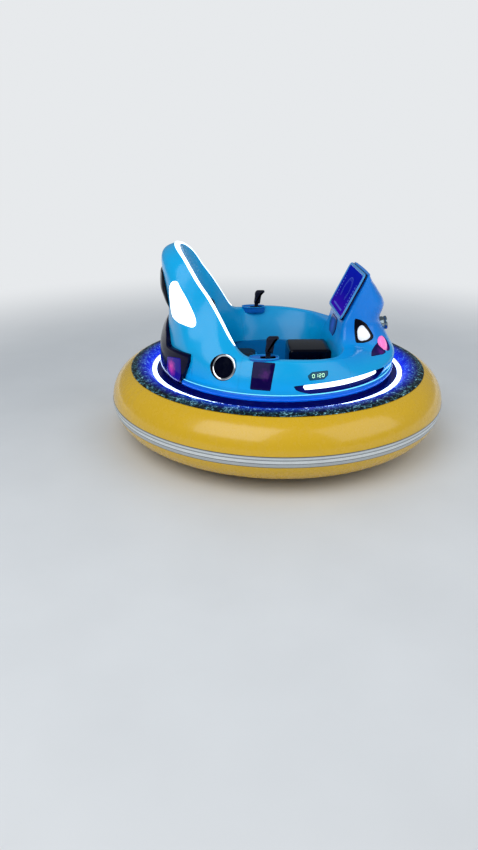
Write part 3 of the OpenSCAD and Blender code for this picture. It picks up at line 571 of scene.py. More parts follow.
class CarSizes(bpy.types.PropertyGroup):
    """Sizes that a user would change."""
    nose_voxel: bpy.props.FloatProperty(
        name="Nose voxel", description="Grid size from which the moulded nose is made",
        default=0.0045, min=0.003, max=0.012, unit="LENGTH", subtype="DISTANCE")
    blend: bpy.props.FloatProperty(
        name="Blend", description="Reach of the fillet between the wall and the screen housing",
        default=0.034, min=0.005, max=0.08, unit="LENGTH", subtype="DISTANCE")
    cushion_voxel: bpy.props.FloatProperty(
        name="Cushion voxel", description="Grid size of the cushions before they are swelled",
        default=0.0055, min=0.004, max=0.012, unit="LENGTH", subtype="DISTANCE")
    cushion_cap: bpy.props.FloatProperty(
        name="Cushion swell", description="Farthest that a cushion's cover moves out under its filling",
        default=0.009, min=0.0, max=0.016, unit="LENGTH", subtype="DISTANCE")
    seam_depth: bpy.props.FloatProperty(
        name="Seam depth", description="How far a sewn channel is drawn into a cushion",
        default=0.0026, min=0.0, max=0.008, unit="LENGTH", subtype="DISTANCE")
    ripple: bpy.props.FloatProperty(
        name="Deck ripple", description="Height of the ripples in the deck's fabric",
        default=0.0009, min=0.0, max=0.003, unit="LENGTH", subtype="DISTANCE")
    welds: bpy.props.IntProperty(
        name="Ring welds", description="Number of lap welds round the ring", default=8, min=3, max=24)
    figures: bpy.props.StringProperty(
        name="Figures", description="Figures on both number displays, of 0, 1, 2 and 4", default="0120")


class CarColours(bpy.types.PropertyGroup):
    """Colours that a user would change."""
    body: bpy.props.FloatVectorProperty(
        name="Body", description="Moulded body", size=4, min=0, max=1,
        subtype="COLOR", default=(0.000, 0.41, 0.82, 1.0))
    # Painted light: this blue is mixed into the body colour on the screen housing to stand for the blue light
    # falling there
    housing: bpy.props.FloatVectorProperty(
        name="Housing", description="Deeper blue of the screen housing", size=4, min=0, max=1,
        subtype="COLOR", default=(0.002, 0.23, 0.80, 1.0))
    belt: bpy.props.FloatVectorProperty(
        name="Belt", description="Bead round the body's foot", size=4, min=0, max=1,
        subtype="COLOR", default=(0.001, 0.15, 0.66, 1.0))
    ring: bpy.props.FloatVectorProperty(
        name="Ring", description="Inflated ring", size=4, min=0, max=1,
        subtype="COLOR", default=(0.75, 0.45, 0.007, 1.0))
    strip: bpy.props.FloatVectorProperty(
        name="Light strip", description="Light of the strip round the body", size=4, min=0, max=1,
        subtype="COLOR", default=(0.45, 0.62, 1.0, 1.0))


class CarStage(bpy.types.PropertyGroup):
    """Light and camera."""
    world: bpy.props.FloatProperty(
        name="World light", description="Strength of the even light from all round",
        default=0.66, min=0.0, max=3.0)
    key: bpy.props.FloatProperty(
        name="Key", description="Power of the lamp at the front left",
        default=85.0, min=0.0, max=500.0, unit="POWER")
    fill: bpy.props.FloatProperty(
        name="Fill", description="Power of the lamp at the front right",
        default=40.0, min=0.0, max=500.0, unit="POWER")
    rim: bpy.props.FloatProperty(
        name="Rim", description="Power of the lamp behind the car",
        default=16.0, min=0.0, max=500.0, unit="POWER")
    lens: bpy.props.FloatProperty(
        name="Lens", description="Focal length of the camera",
        default=27.49, min=10.0, max=200.0, unit="CAMERA")


def sizes():
    """The sizes that a user may have changed."""
    return bpy.context.scene.car_sizes


def colours():
    """The colours that a user may have changed."""
    return bpy.context.scene.car_colours


# Finishes

def new_group(name, inputs, outputs):
    """A shader node group with inputs (name: default, a float or a colour) and outputs (name: kind)."""
    group = bpy.data.node_groups.new(name, "ShaderNodeTree")
    for key, value in inputs.items():
        kind = "NodeSocketColor" if isinstance(value, tuple) else "NodeSocketFloat"
        group.interface.new_socket(key, in_out="INPUT", socket_type=kind).default_value = value
    for key, kind in outputs.items():
        group.interface.new_socket(key, in_out="OUTPUT", socket_type=kind)
    return group


class Nodes:
    """Short calls for the nodes of one tree."""

    def __init__(self, tree):
        self.tree = tree

    def feed(self, node, inputs):
        """Sets a node's inputs: a socket is linked, anything else becomes the input's value."""
        for key, value in inputs.items():
            if isinstance(value, bpy.types.NodeSocket):
                self.tree.links.new(value, node.inputs[key])
            else:
                node.inputs[key].default_value = value
        return node

    def add(self, kind, inputs=(), **settings):
        """A node with its settings and its inputs."""
        node = self.tree.nodes.new(kind)
        for key, value in settings.items():
            setattr(node, key, value)
        return self.feed(node, dict(inputs))

    def math(self, operation, a, b=0.0, clamp=False):
        """The result of a math node."""
        return self.add("ShaderNodeMath", {0: a, 1: b}, operation=operation, use_clamp=clamp).outputs[0]

    def mix(self, share, a, b):
        """A mix of two colours."""
        return self.add("ShaderNodeMix", {"Factor": share, 6: a, 7: b}, data_type="RGBA").outputs[2]

    def ramp(self, share, stops, constant=False):
        """A colour ramp over (position, colour) stops."""
        node = self.add("ShaderNodeValToRGB", {0: share})
        ramp = node.color_ramp
        ramp.interpolation = "CONSTANT" if constant else "LINEAR"
        while len(ramp.elements) < len(stops):
            ramp.elements.new(1.0)
        for element, (position, colour) in zip(ramp.elements, stops):
            element.position = position
            element.color = colour
        return node.outputs[0]

    def place(self):
        """The place on the object."""
        return self.add("ShaderNodeTexCoord").outputs["Object"]

    def split(self, vector):
        """A vector's X, Y and Z."""
        return self.add("ShaderNodeSeparateXYZ", {0: vector}).outputs

    def length(self, x, y):
        """The root of x squared plus y squared."""
        return self.math("SQRT", self.math("ADD", self.math("MULTIPLY", x, x), self.math("MULTIPLY", y, y)))

    def share(self, value, low, high, smooth=False):
        """How far the value is on its way from low to high, between 0 and 1."""
        kind = "SMOOTHSTEP" if smooth else "LINEAR"
        return self.add("ShaderNodeMapRange", {0: value, 1: low, 2: high}, interpolation_type=kind).outputs[0]

    def noise(self, vector, scale, detail, roughness=0.5, distortion=0.0):
        """The value of a noise texture."""
        return self.add("ShaderNodeTexNoise", {
            "Vector": vector, "Scale": scale, "Detail": detail, "Roughness": roughness,
            "Distortion": distortion}).outputs["Fac"]

    def cells(self, vector, scale):
        """The distance to the nearest of scattered points."""
        return self.add("ShaderNodeTexVoronoi", {"Vector": vector, "Scale": scale}).outputs["Distance"]


def surface_group():
    """Grain, mottling and rubbed dust, as a colour, a roughness and a normal. Built once."""
    name = "handled_surface"
    if name in bpy.data.node_groups:
        return bpy.data.node_groups[name]
    group = new_group(name, {
        "Colour": (0.5, 0.5, 0.5, 1), "Dust": (0.5, 0.5, 0.5, 1), "Dust share": 0.1, "Mottle scale": 3.0,
        "Mottle share": 0.1, "Roughness": 0.3, "Roughness spread": 0.08, "Grain scale": 300.0,
        "Grain height": 0.05,
    }, {"Colour": "NodeSocketColor", "Roughness": "NodeSocketFloat", "Normal": "NodeSocketVector"})
    n = Nodes(group)
    given = n.add("NodeGroupInput").outputs
    place = n.place()
    mottle = n.noise(place, given["Mottle scale"], 4.0, 0.6)
    streak = n.noise(place, 23.0, 6.0, 0.7)
    grain = n.noise(place, given["Grain scale"], 3.0)
    dark = n.add("ShaderNodeHueSaturation", {"Color": given["Colour"], "Value": 0.72}).outputs[0]
    swing = n.math("MULTIPLY", n.math("MULTIPLY_ADD", mottle, 2.0), given["Mottle share"], clamp=True)
    toned = n.mix(swing, given["Colour"], dark)
    patch = n.math("MULTIPLY", n.math("SUBTRACT", streak, 0.5), 6.0, clamp=True)
    dusty = n.math("MULTIPLY", patch, given["Dust share"], clamp=True)
    colour = n.mix(dusty, toned, given["Dust"])
    spread = n.math("MULTIPLY", n.math("SUBTRACT", streak, 0.5), given["Roughness spread"])
    rough = n.math("ADD", n.math("ADD", given["Roughness"], spread),
                   n.math("MULTIPLY", dusty, 0.5), clamp=True)
    bump = n.add("ShaderNodeBump", {"Height": grain, "Strength": given["Grain height"], "Distance": 0.001})
    n.add("NodeGroupOutput", {"Colour": colour, "Roughness": rough, "Normal": bump.outputs[0]})
    return group


def rgb(r, g, b):
    """A colour with full alpha."""
    return (r, g, b, 1.0)


DUST = rgb(0.36, 0.37, 0.36)
# Plain finishes. Columns: colour, roughness, metallic, coat, specular level, mottle scale and share,
# dust share, grain scale and height
FINISHES = {
    "gelcoat": (rgb(0.000, 0.41, 0.82), 0.24, 0.0, 0.12, 0.30, 2.2, 0.10, 0.01, 260, 0.03),
    "liner_gelcoat": (rgb(0.002, 0.26, 0.66), 0.30, 0.0, 0.1, 0.3, 2.6, 0.14, 0.03, 260, 0.06),
    "ring_vinyl": (rgb(0.75, 0.45, 0.007), 0.27, 0.0, 0.45, 0.45, 1.8, 0.14, 0.03, 420, 0.10),
    "gloss_black": (rgb(0.001, 0.001, 0.006), 0.12, 0.0, 0.08, 0.12, 4.0, 0.1, 0.004, 300, 0.02),
    "smoked_blue": (rgb(0.001, 0.001, 0.022), 0.14, 0.0, 0.04, 0.08, 4.0, 0.1, 0.002, 300, 0.02),
    "belt_blue": (rgb(0.001, 0.15, 0.66), 0.22, 0.0, 0.1, 0.20, 3.0, 0.10, 0.01, 260, 0.03),
    "lamp_chrome": (rgb(0.30, 0.38, 0.42), 0.12, 1.0, 0.0, 0.5, 5.0, 0.05, 0.03, 300, 0.01),
    "recess_blue": (rgb(0.002, 0.005, 0.16), 0.14, 0.0, 0.1, 0.25, 4.0, 0.1, 0.01, 300, 0.02),
    "plinth_blue": (rgb(0.001, 0.005, 0.14), 0.18, 0.0, 0.1, 0.05, 4.0, 0.2, 0.02, 300, 0.03),
    "pod_blue": (rgb(0.003, 0.16, 0.60), 0.24, 0.0, 0.1, 0.3, 6.0, 0.15, 0.04, 320, 0.08),
    "chrome": (rgb(0.80, 0.83, 0.87), 0.08, 1.0, 0.0, 0.5, 5.0, 0.05, 0.03, 300, 0.01),
    "display_teal": (rgb(0.004, 0.085, 0.15), 0.22, 0.0, 0.1, 0.3, 6.0, 0.1, 0.02, 300, 0.02),
    "screen_blue": (rgb(0.04, 0.34, 0.80), 0.26, 0.0, 0.4, 0.5, 5.0, 0.08, 0.02, 320, 0.05),
    "speaker_cloth": (rgb(0.001, 0.002, 0.010), 0.60, 0.0, 0.0, 0.02, 8.0, 0.2, 0.01, 1600, 0.6),
    "grip_rubber": (rgb(0.004, 0.005, 0.018), 0.50, 0.0, 0.0, 0.2, 9.0, 0.2, 0.03, 700, 0.35),
    "black_vinyl": (rgb(0.006, 0.006, 0.009), 0.42, 0.0, 0.0, 0.3, 6.0, 0.15, 0.012, 650, 0.35),
    "dark_lens": (rgb(0.003, 0.004, 0.025), 0.06, 0.0, 0.8, 0.5, 5.0, 0.1, 0.01, 300, 0.01),
    "chassis_paint": (rgb(0.018, 0.019, 0.022), 0.48, 0.0, 0.1, 0.4, 7.0, 0.25, 0.20, 500, 0.30),
    "motor_paint": (rgb(0.075, 0.078, 0.085), 0.42, 0.2, 0.1, 0.4, 9.0, 0.25, 0.20, 500, 0.20),
    "cast_rim": (rgb(0.52, 0.53, 0.55), 0.42, 0.9, 0.0, 0.5, 9.0, 0.25, 0.22, 600, 0.35),
    "tyre_rubber": (rgb(0.018, 0.018, 0.018), 0.78, 0.0, 0.0, 0.4, 9.0, 0.25, 0.30, 800, 0.45),
    "zinc": (rgb(0.50, 0.52, 0.54), 0.34, 1.0, 0.0, 0.5, 14.0, 0.30, 0.15, 500, 0.12),
    "caster_rubber": (rgb(0.085, 0.087, 0.090), 0.62, 0.0, 0.0, 0.4, 10.0, 0.25, 0.30, 800, 0.30),
    "battery_case": (rgb(0.035, 0.036, 0.040), 0.55, 0.0, 0.0, 0.4, 6.0, 0.2, 0.2, 600, 0.30),
}


BACKDROP = rgb(0.80, 0.82, 0.84)
# Start of the materials' names, because the frame has materials named after its slots
PREFIX = "car_"


def new_material(name):
    """An empty material with its shader and output."""
    material = bpy.data.materials.new(PREFIX + name)
    material.use_nodes = True
    n = Nodes(material.node_tree)
    n.tree.nodes.clear()
    shader = n.add("ShaderNodeBsdfPrincipled")
    n.add("ShaderNodeOutputMaterial", {"Surface": shader.outputs[0]})
    return material, n, shader


def wear(n, shader, colour, rough, mottle_scale, mottle, dust, grain_scale, grain):
    """Feeds the shader from the surface group with these values. colour may be a socket."""
    worn = n.add("ShaderNodeGroup", {
        "Colour": colour, "Dust": DUST, "Dust share": dust, "Mottle scale": mottle_scale,
        "Mottle share": mottle, "Roughness": rough, "Grain scale": grain_scale, "Grain height": grain,
    }, node_tree=surface_group()).outputs
    n.feed(shader, {"Base Color": worn["Colour"], "Roughness": worn["Roughness"], "Normal": worn["Normal"]})


def body_tone_with_painted_blue_light(n, colour):
    """The body's colour, deepened to blue on the screen housing by painted blue light: a share by x times a
    share by z.
    """
    xyz = n.split(n.place())
    ahead = n.share(xyz["X"], 0.12, 0.40, smooth=True)
    above = n.share(xyz["Z"], 0.44, 0.60, smooth=True)
    return n.mix(n.math("MULTIPLY", ahead, above), colour, tuple(colours().housing))


def plain_finish(n, shader, name):
    """A plain finish from its table. Three of them take their colour from the settings."""
    colour, rough, metal, coat, specular, *surface = FINISHES[name]
    setting = {"gelcoat": "body", "belt_blue": "belt", "ring_vinyl": "ring"}.get(name)
    if setting:
        colour = tuple(getattr(colours(), setting))
    # The two gelcoats take painted blue light on the screen housing
    if name in ("gelcoat", "liner_gelcoat"):
        colour = body_tone_with_painted_blue_light(n, colour)
    wear(n, shader, colour, rough, *surface)
    n.feed(shader, {"Metallic": metal, "Coat Weight": coat, "Specular IOR Level": specular,
                    "Coat Roughness": 0.06})


# Lit finishes. Columns: surface colour, light colour, strength
LIT = {
    "white_light": (rgb(0.90, 0.95, 1.0), rgb(0.80, 0.92, 1.0), 2.4),
    "ring_light": (rgb(0.85, 0.92, 1.0), rgb(0.45, 0.62, 1.0), 5.0),
    "lamp_pink": (rgb(0.90, 0.18, 0.50), rgb(1.0, 0.20, 0.62), 0.55),
    # Painted highlight: the glowing line on the body bead is no lamp
    "edge_light": (rgb(0.10, 0.62, 0.80), rgb(0.20, 0.78, 1.0), 0.75),
    "figure_light": (rgb(0.60, 0.95, 0.65), rgb(0.42, 1.0, 0.58), 1.1),
}


def lit_finish(n, shader, name):
    """A glowing diffuser: its light is mottled a little by cells of the size of its diodes. The line along
    the body bead uses it too, as a painted highlight.
    """
    colour, light, strength = LIT[name]
    if name == "ring_light":
        light = tuple(colours().strip)
    wear(n, shader, colour, 0.22, 8.0, 0.05, 0.02, 400, 0.03)
    dim = tuple(0.82 * v for v in light[:3]) + (1.0,)
    glow = n.mix(n.math("MULTIPLY", n.cells(n.place(), 55.0), 1.4, clamp=True), light, dim)
    n.feed(shader, {"Emission Color": glow, "Emission Strength": strength, "Coat Weight": 0.4})


# Lenses with a lit middle, and unlit side panels and mouths with a painted glow in the middle. Columns:
# colour, rim light, middle light, strength, specular level, middle (x, y, z), reach
GLOWS = {
    "headlamp_glow": (rgb(0.55, 0.60, 0.66), rgb(0.20, 0.22, 0.34), rgb(1.0, 0.96, 0.84), 1.15, 0.3,
                      (431, 218, 590), 62),
    "tail_glow": (rgb(0.006, 0.003, 0.07), rgb(0.010, 0.004, 0.24), rgb(1.0, 0.08, 0.50), 0.8, 0.15,
                  (-556, 310, 446), 62),
    # Painted glow: the side panels hold no lamp; their violet middle is painted light
    "panel_glow": (rgb(0.001, 0.000, 0.010), rgb(0.006, 0.001, 0.075), rgb(0.16, 0.01, 0.30), 0.6, 0.05,
                   (-104, 588, 500), 46),
    "console_glow": (rgb(0.002, 0.001, 0.04), rgb(0.004, 0.003, 0.09), rgb(0.07, 0.08, 0.75), 0.5, 0.10,
                     (306, 0, 574), 88),
    # Painted glow: the mouths hold no lamp; their violet middle is painted light
    "mouth_glow": (rgb(0.008, 0.002, 0.03), rgb(0.006, 0.003, 0.10), rgb(0.22, 0.02, 0.42), 0.5, 0.15,
                   (520, 262, 502), 46),
}


def glow_finish(n, shader, name):
    """A dark lens whose light falls off from a middle on either side of the car: the share of light is one
    less the distance by the reach, made uneven by cells. On the side panels and mouths, which hold no lamp,
    the light is painted."""
    colour, rim, middle, strength, specular, at, reach = GLOWS[name]
    wear(n, shader, colour, 0.12, 8.0, 0.05, 0.01, 400, 0.03)
    place = n.place()
    xyz = n.split(place)
    folded = n.add("ShaderNodeCombineXYZ", {0: xyz["X"], 1: n.math("ABSOLUTE", xyz["Y"]), 2: xyz["Z"]})
    far = n.add("ShaderNodeVectorMath", {0: folded.outputs[0], 1: tuple(v * MM for v in at)},
                operation="DISTANCE").outputs["Value"]
    uneven = n.math("ADD", far, n.math("MULTIPLY", n.cells(place, 60.0), 0.02))
    share = n.math("SUBTRACT", 1.0, n.math("DIVIDE", uneven, reach * MM))
    share = n.math("POWER", n.math("MAXIMUM", share, 0.0), 1.3, clamp=True)
    n.feed(shader, {"Emission Color": n.mix(share, rim, middle), "Emission Strength": strength,
                    "Specular IOR Level": specular, "Coat Weight": 0.1, "Coat Roughness": 0.05})


def stripe_finish(n, shader):
    """Silver reflective film: light bands between darker lines, by height."""
    low = (STRIPE_Z - STRIPE_H / 2) * MM
    share = n.share(n.split(n.place())["Z"], low, low + STRIPE_H * MM)
    silver, white, line = rgb(0.52, 0.56, 0.58), rgb(0.80, 0.84, 0.85), rgb(0.10, 0.11, 0.12)
    stops = [(0.0, line), (0.07, silver), (0.34, line), (0.40, white), (0.66, line), (0.71, silver),
             (0.80, white), (0.86, silver), (0.93, line)]
    wear(n, shader, n.ramp(share, stops, constant=True), 0.34, 6.0, 0.15, 0.15, 900, 0.08)
    n.feed(shader, {"Metallic": 0.25})


def deck_finish(n, shader):
    """Coated black fabric with fine bright specks that are painted highlights on its crinkles; a painted
    blue glow at its inner edge stands for the strip's light.
    """
    place = n.place()
    # Painted highlights: the ramp's bright teal stops stand for light caught on the fabric's crinkles
    tone = n.ramp(n.noise(place, 52.0, 6.0, 0.75, 1.2), [
        (0.46, rgb(0.001, 0.002, 0.004)), (0.53, rgb(0.002, 0.016, 0.024)),
        (0.58, rgb(0.05, 0.20, 0.26)), (0.64, rgb(0.40, 0.78, 0.86))])
    wear(n, shader, tone, 0.34, 9.0, 0.2, 0.02, 900, 0.4)
    xyz = n.split(place)
    # Painted glow: emission that grows towards the groove stands for the strip's blue light falling on the
    # fabric
    near = n.share(n.length(xyz["X"], xyz["Y"]), (FOLD_R + 58) * MM, (GROOVE_R + 2) * MM)
    near = n.math("POWER", near, 1.5, clamp=True)
    n.feed(shader, {"Emission Color": n.mix(near, rgb(0, 0, 0), rgb(0.001, 0.020, 0.95)),
                    "Emission Strength": 1.0, "Specular IOR Level": 0.15})


def display_finish(n, shader):
    """A lit display behind glass: a violet glow low down, a dial ring, two bars and rows of fine ticks."""
    xy = n.split(n.add("ShaderNodeTexCoord").outputs["UV"])
    x = n.math("SUBTRACT", xy["X"], 0.5)
    y = n.math("SUBTRACT", xy["Y"], 0.5)
    wide = n.math("MULTIPLY", x, SCREEN_RATIO)
    base = n.ramp(xy["Y"], [(0.08, rgb(0.05, 0.006, 0.50)), (0.45, rgb(0.006, 0.006, 0.42)),
                            (0.95, rgb(0.002, 0.016, 0.50))])
    reach = n.length(wide, y)

    def band(value, middle, half):
        return n.math("LESS_THAN", n.math("ABSOLUTE", n.math("SUBTRACT", value, middle)), half)
    dial = n.math("MULTIPLY", band(reach, 0.27, 0.010), n.math("GREATER_THAN", y, -0.17))
    angle = n.math("ARCTAN2", y, wide)
    teeth = n.math("GREATER_THAN", n.math("SINE", n.math("MULTIPLY", angle, 40.0)), 0.55)
    upper = n.math("GREATER_THAN", y, -0.14)
    ticks = n.math("MULTIPLY", n.math("MULTIPLY", band(reach, 0.225, 0.022), teeth), upper)
    side = n.math("ABSOLUTE", wide)
    bars = n.math("MULTIPLY", band(side, 0.52, 0.035), band(y, -0.02, 0.24))
    rungs = n.math("GREATER_THAN", n.math("SINE", n.math("MULTIPLY", y, 90.0)), -0.2)
    foot = n.math("MULTIPLY", band(y, -0.36, 0.018), n.math("LESS_THAN", side, 0.42))
    lines = n.math("ADD", n.math("MULTIPLY", bars, rungs), foot)
    marks = n.math("ADD", n.math("ADD", dial, ticks), lines, clamp=True)
    face = n.mix(n.math("MULTIPLY", marks, 0.5), base, rgb(0.16, 0.30, 0.95))
    veil = n.math("MULTIPLY", n.noise(n.place(), 9.0, 2.0), 0.5)
    wear(n, shader, rgb(0.002, 0.002, 0.03), 0.16, 5.0, 0.1, 0.0, 300, 0.01)
    n.feed(shader, {"Emission Color": n.mix(veil, face, rgb(0.004, 0.004, 0.20)),
                    "Emission Strength": 0.8, "Specular IOR Level": 0.0})


def floor_finish(n, shader):
    """Pale floor near the car, which passes into the backdrop's even light farther away."""
    place = n.place()
    tone = n.ramp(n.noise(place, 2.0, 5.0), [(0.3, rgb(0.70, 0.71, 0.72)), (0.7, rgb(0.74, 0.75, 0.76))])
    n.feed(shader, {"Base Color": tone, "Roughness": 0.6})
    xyz = n.split(place)
    far = n.share(n.length(xyz["X"], xyz["Y"]), 1.9, 4.6, smooth=True)
    glow = n.add("ShaderNodeEmission", {"Color": BACKDROP, "Strength": 1.0}).outputs[0]
    both = n.add("ShaderNodeMixShader", {0: far, 1: shader.outputs[0], 2: glow}).outputs[0]
    out = next(node for node in n.tree.nodes if node.type == "OUTPUT_MATERIAL")
    n.feed(out, {"Surface": both})


DRAWN = {"stripe_film": stripe_finish, "deck_fabric": deck_finish, "screen_display": display_finish,
         "pale_floor": floor_finish}


def finish_of(name):
    """The finish of this name, made once: a row of a table, or one drawn by a function of its own."""
    if PREFIX + name in bpy.data.materials:
        return bpy.data.materials[PREFIX + name]
    material, n, shader = new_material(name)
    if name in DRAWN:
        DRAWN[name](n, shader)
    for table, build in ((FINISHES, plain_finish), (LIT, lit_finish), (GLOWS, glow_finish)):
        if name in table:
            build(n, shader, name)
    return material


# Shapes of the pieces

LENS = [(0, -9), (0, 0.6), (0.5, 1.7), (1.6, 2.5), (3.6, 3.0), (8, 3.3), (16, 3.5), (30, 3.6), (48, 3.6)]
POCKET_GAP = 1.3
POCKET_DEPTH = 9.0
# How far outside the surface a draped cutter and a round one reach
POCKET_OUT = 45
ROUND_POCKET_OUT = 100.0


class Feature:
    """A lamp, panel or grille on the walls: its frame, its outline and the surface that it follows."""

    def __init__(self, at, yaw, lean, outline, radius, field=shell_field, count=128):
        self.facing = Facing(at, yaw, lean)
        self.loop = softened(outline, radius, count)
        self.field = field

    def lens(self, lift=0.0):
        """A closed draped plate over the outline."""
        profile = [(inset, height + lift) for inset, height in LENS]
        return lens_part(self.facing, self.loop, self.field, profile, to_middle=True)

    def pocket(self, depth=POCKET_DEPTH):
        """A cutter that leaves a bed under the plate: the surface less the depth, up to well outside."""
        loop = offset_loop(self.loop, POCKET_GAP)
        span = np.abs(loop - loop.mean(0)).max()
        bed = [(span * share, -depth) for share in np.linspace(0, 0.97, 8)[::-1]]
        return lens_part(self.facing, loop, self.field, bed + [(0, POCKET_OUT)], slot=1)


SIDE_LAMP = Feature((-492, 307, 769), 128, 10, [
    (60, 98), (37, 101), (23, 83), (-11, 35), (-38, -9), (-66, -58), (-76, -84), (-76, -100),
    (-64, -109), (-27, -102), (34, -93), (90, -80), (113, -50), (110, 8), (84, 76)], 26, count=160)
SPEAKER = Facing((-285.4, 486.5, 500), 120.4, 21)
SPEAKER_R = 64.0
PANEL = Feature((-107, 576, 492), 100, 24, [(53, 60), (-49, 57), (-33, -72), (62, -69)], 5)
DISPLAY = Feature((146, 571, 484), 75, 25, [(49, 3), (42, -18), (-29, -18), (-52, 0), (-55, 19), (27, 18)], 4)
HEADLAMP = Feature((430, 210, 585), 75, 20, [
    (43, 77), (12, 66), (-18, 43), (-37, 14), (-51, -18), (-42, -34), (-14, -46), (16, -50), (50, -46)],
    8, nose_field)
HEADLAMP_LENS = Feature((430, 210, 585), 75, 20, [
    (34, 14), (22, 38), (3, 41), (-24, 6), (-34, -20), (-12, -36), (25, -40), (37, -28)], 11, nose_field)
MOUTH = Feature((489, 251, 506), 45, 25, [(84, -18), (-10, 24), (-40, 36), (-46, -26), (-12, -30)],
                6, nose_field)
CONSOLE = Feature((306, 0, 572), 180, 10, [(-95, 0), (-70, 50), (70, 50), (95, 0), (60, -46), (-60, -46)],
                  16, nose_field)
FOG = Facing((535, 205, 524), 30, 25).moved(-10)
FOG_R = 42.0
NOSE_LAMP = Facing((540, 0, 577), 0, 8)
NOSE_LAMP_R = 36.0

# Light bars: a lens-shaped recess on the cone that the wall follows here
BAR_FROM = 38.5
BAR_TO = 82.5
RECESS_FROM = 33.0
RECESS_TO = 87.0
RECESS_FLOOR = 588.0
BAR_LEAN = np.tan(np.radians(14))
BAR_MID_Z = 432.0
BAR_Z = 435.0
# The recess: how far it is cut outwards, its top at the ends and the rise to its middle, its height at the
# ends and the dip of its foot
RECESS_OUT = 75.0
RECESS_TOP = 443.0
RECESS_RISE = 8.0
RECESS_END_H = 3.0
RECESS_DIP = 60.0


def recess_edges(share):
    """Lower and upper height of the recess along its length: its top follows the bar, its foot bows down
    behind the belt."""
    bow = np.sin(np.pi * np.clip(share, 0.0, 1.0)) ** 0.45
    top = RECESS_TOP + RECESS_RISE * bow
    return top - RECESS_END_H - RECESS_DIP * bow, top


def leaned(radius, z):
    """Points (radius, height) on a cone that leans as the wall does at the light bars."""
    return np.stack([radius - (z - BAR_MID_Z) * BAR_LEAN, z], -1)


def recess_cutter():
    """A lens-shaped cutter between the recess floor and well outside, leaned with the wall."""
    bearing = np.linspace(RECESS_FROM, RECESS_TO, 60)
    low, high = recess_edges((bearing - RECESS_FROM) / (RECESS_TO - RECESS_FROM))
    out = RECESS_FLOOR + RECESS_OUT
    loop = np.stack([leaned(RECESS_FLOOR, low), leaned(out, low), leaned(out, high),
                     leaned(RECESS_FLOOR, high)], 1)
    return grid_part(spin(loop, bearing), wrap_cols=True, caps=True, slot=1)


def plain_pocket(facing, radius, depth):
    """A round cutter from a depth to well outside, for a lamp or speaker seated in a bore."""
    a = whole_turn(96)
    loop = radius * np.column_stack([np.cos(a), np.sin(a)])
    return ringed([(loop, -depth), (loop, ROUND_POCKET_OUT)], facing, slot=1)


def shell_part(start, end, step):
    """A closed solid wall between two bearings."""
    bearing = np.linspace(start, end, int(round((end - start) / step)) + 1)
    return grid_part(spin(wall_loops(bearing), bearing), wrap_cols=True, caps=True)


def make_seat_shell():
    """The high back: a wall that rises from the sills to its crest behind the rider."""
    edge = SEAT_FROM + SHELL_GAP
    mesh = cut(make_mesh("seat_shell_skin", [shell_part(edge, 360 - edge, 1.0)]),
               mirrored([SIDE_LAMP.pocket(), plain_pocket(SPEAKER, SPEAKER_R + 1, 1)]))
    piece("seat_shell_skin", mesh, ["gelcoat", "gloss_black"], replaces=["seat_shell"])


POD_X = -102.0
POD_Y = 506.0
POD_Z = 525.0
POD_H = 32.0
POD_HALF_L = 68.0
POD_HALF_W = 40.0
POD_SIDE_R = 133.0
LEVER_X = -84.0
LEVER_Y = 500.0
LEVER_Z = 549.0
WELL_HALF_L = 37.0
WELL_HALF_W = 18.0


def pod_loop(grow):
    """Barrel outline of a pod: y = +-(sqrt(R^2 - x^2) - (R - w)) between two short ends, corners softened."""
    x = np.linspace(-POD_HALF_L, POD_HALF_L, 41)
    y = np.sqrt(POD_SIDE_R ** 2 - x ** 2) - (POD_SIDE_R - POD_HALF_W)
    loop = resampled(np.vstack([np.column_stack([x, y]), np.column_stack([x, -y])[::-1]]), 400)
    for _ in range(60):
        loop = 0.5 * loop + 0.25 * (np.roll(loop, 1, axis=0) + np.roll(loop, -1, axis=0))
    return offset_loop(resampled(loop, 160), grow) + (POD_X, POD_Y)


def pod_rings(steps):
    """Rings round a pod from (growth, height) steps."""
    return [(pod_loop(grow), POD_Z + height) for grow, height in steps]


def pod_cutter():
    """The bed of a lever pod in a sill, wider for its rim."""
    rim = POD_H - 6.5
    return ringed(pod_rings([(1.0, -1), (1.0, rim), (3.2, rim), (3.2, 100)]))


def make_pods():
    """Lever pods: trays with a rolled rim, a dished top and a well for the lever."""
    tray = ringed(pod_rings([(0, 0), (0, 26.5), (1.8, 27.2), (2.2, 29), (2.0, 31), (0.8, 32), (-0.8, 32),
                             (-2.2, 31), (-3.4, 29.4), (-5.5, 28.6), (-9, 28.2)]))
    well = rect_loop(WELL_HALF_L, WELL_HALF_W, 9, 96) + (LEVER_X, LEVER_Y)
    mesh = cut(make_mesh("pod_trays", [tray]), [ringed([(well, POD_Z + 4), (well, POD_Z + 60)], slot=1)])
    other = mesh.copy()
    other.transform(Matrix.Scale(-1, 4, (0, 1, 0)))
    other.flip_normals()
    both = bmesh.new()
    both.from_mesh(mesh)
    both.from_mesh(other)
    both.to_mesh(mesh)
    both.free()
    piece("pod_trays", mesh, ["pod_blue", "gloss_black"], replaces=["pods"])
    bead = ringed(pod_rings([(1.2, 31.6), (0.9, 33.0), (0, 33.6), (-0.9, 33.0), (-1.2, 31.6)]), hollow=True)
    piece("pod_edge_lines", mirrored([bead]), ["gelcoat"])


# Side view of the lever's grip and head, from the pin: x forward, y up
GRIP_LINE = [(22, 24), (28.8, 68.7), (31, 79), (49, 95), (50, 102), (44, 106), (4, 106), (-5, 98), (-10, 86),
             (-9, 74), (-15, 28)]
GRIP_HALF_W = 18.0
# The bellows: its middle radius, the depth of a fold and the height of one
BELLOWS_R = 11.2
FOLD_DEPTH = 1.4
FOLD_STEP = 4.5


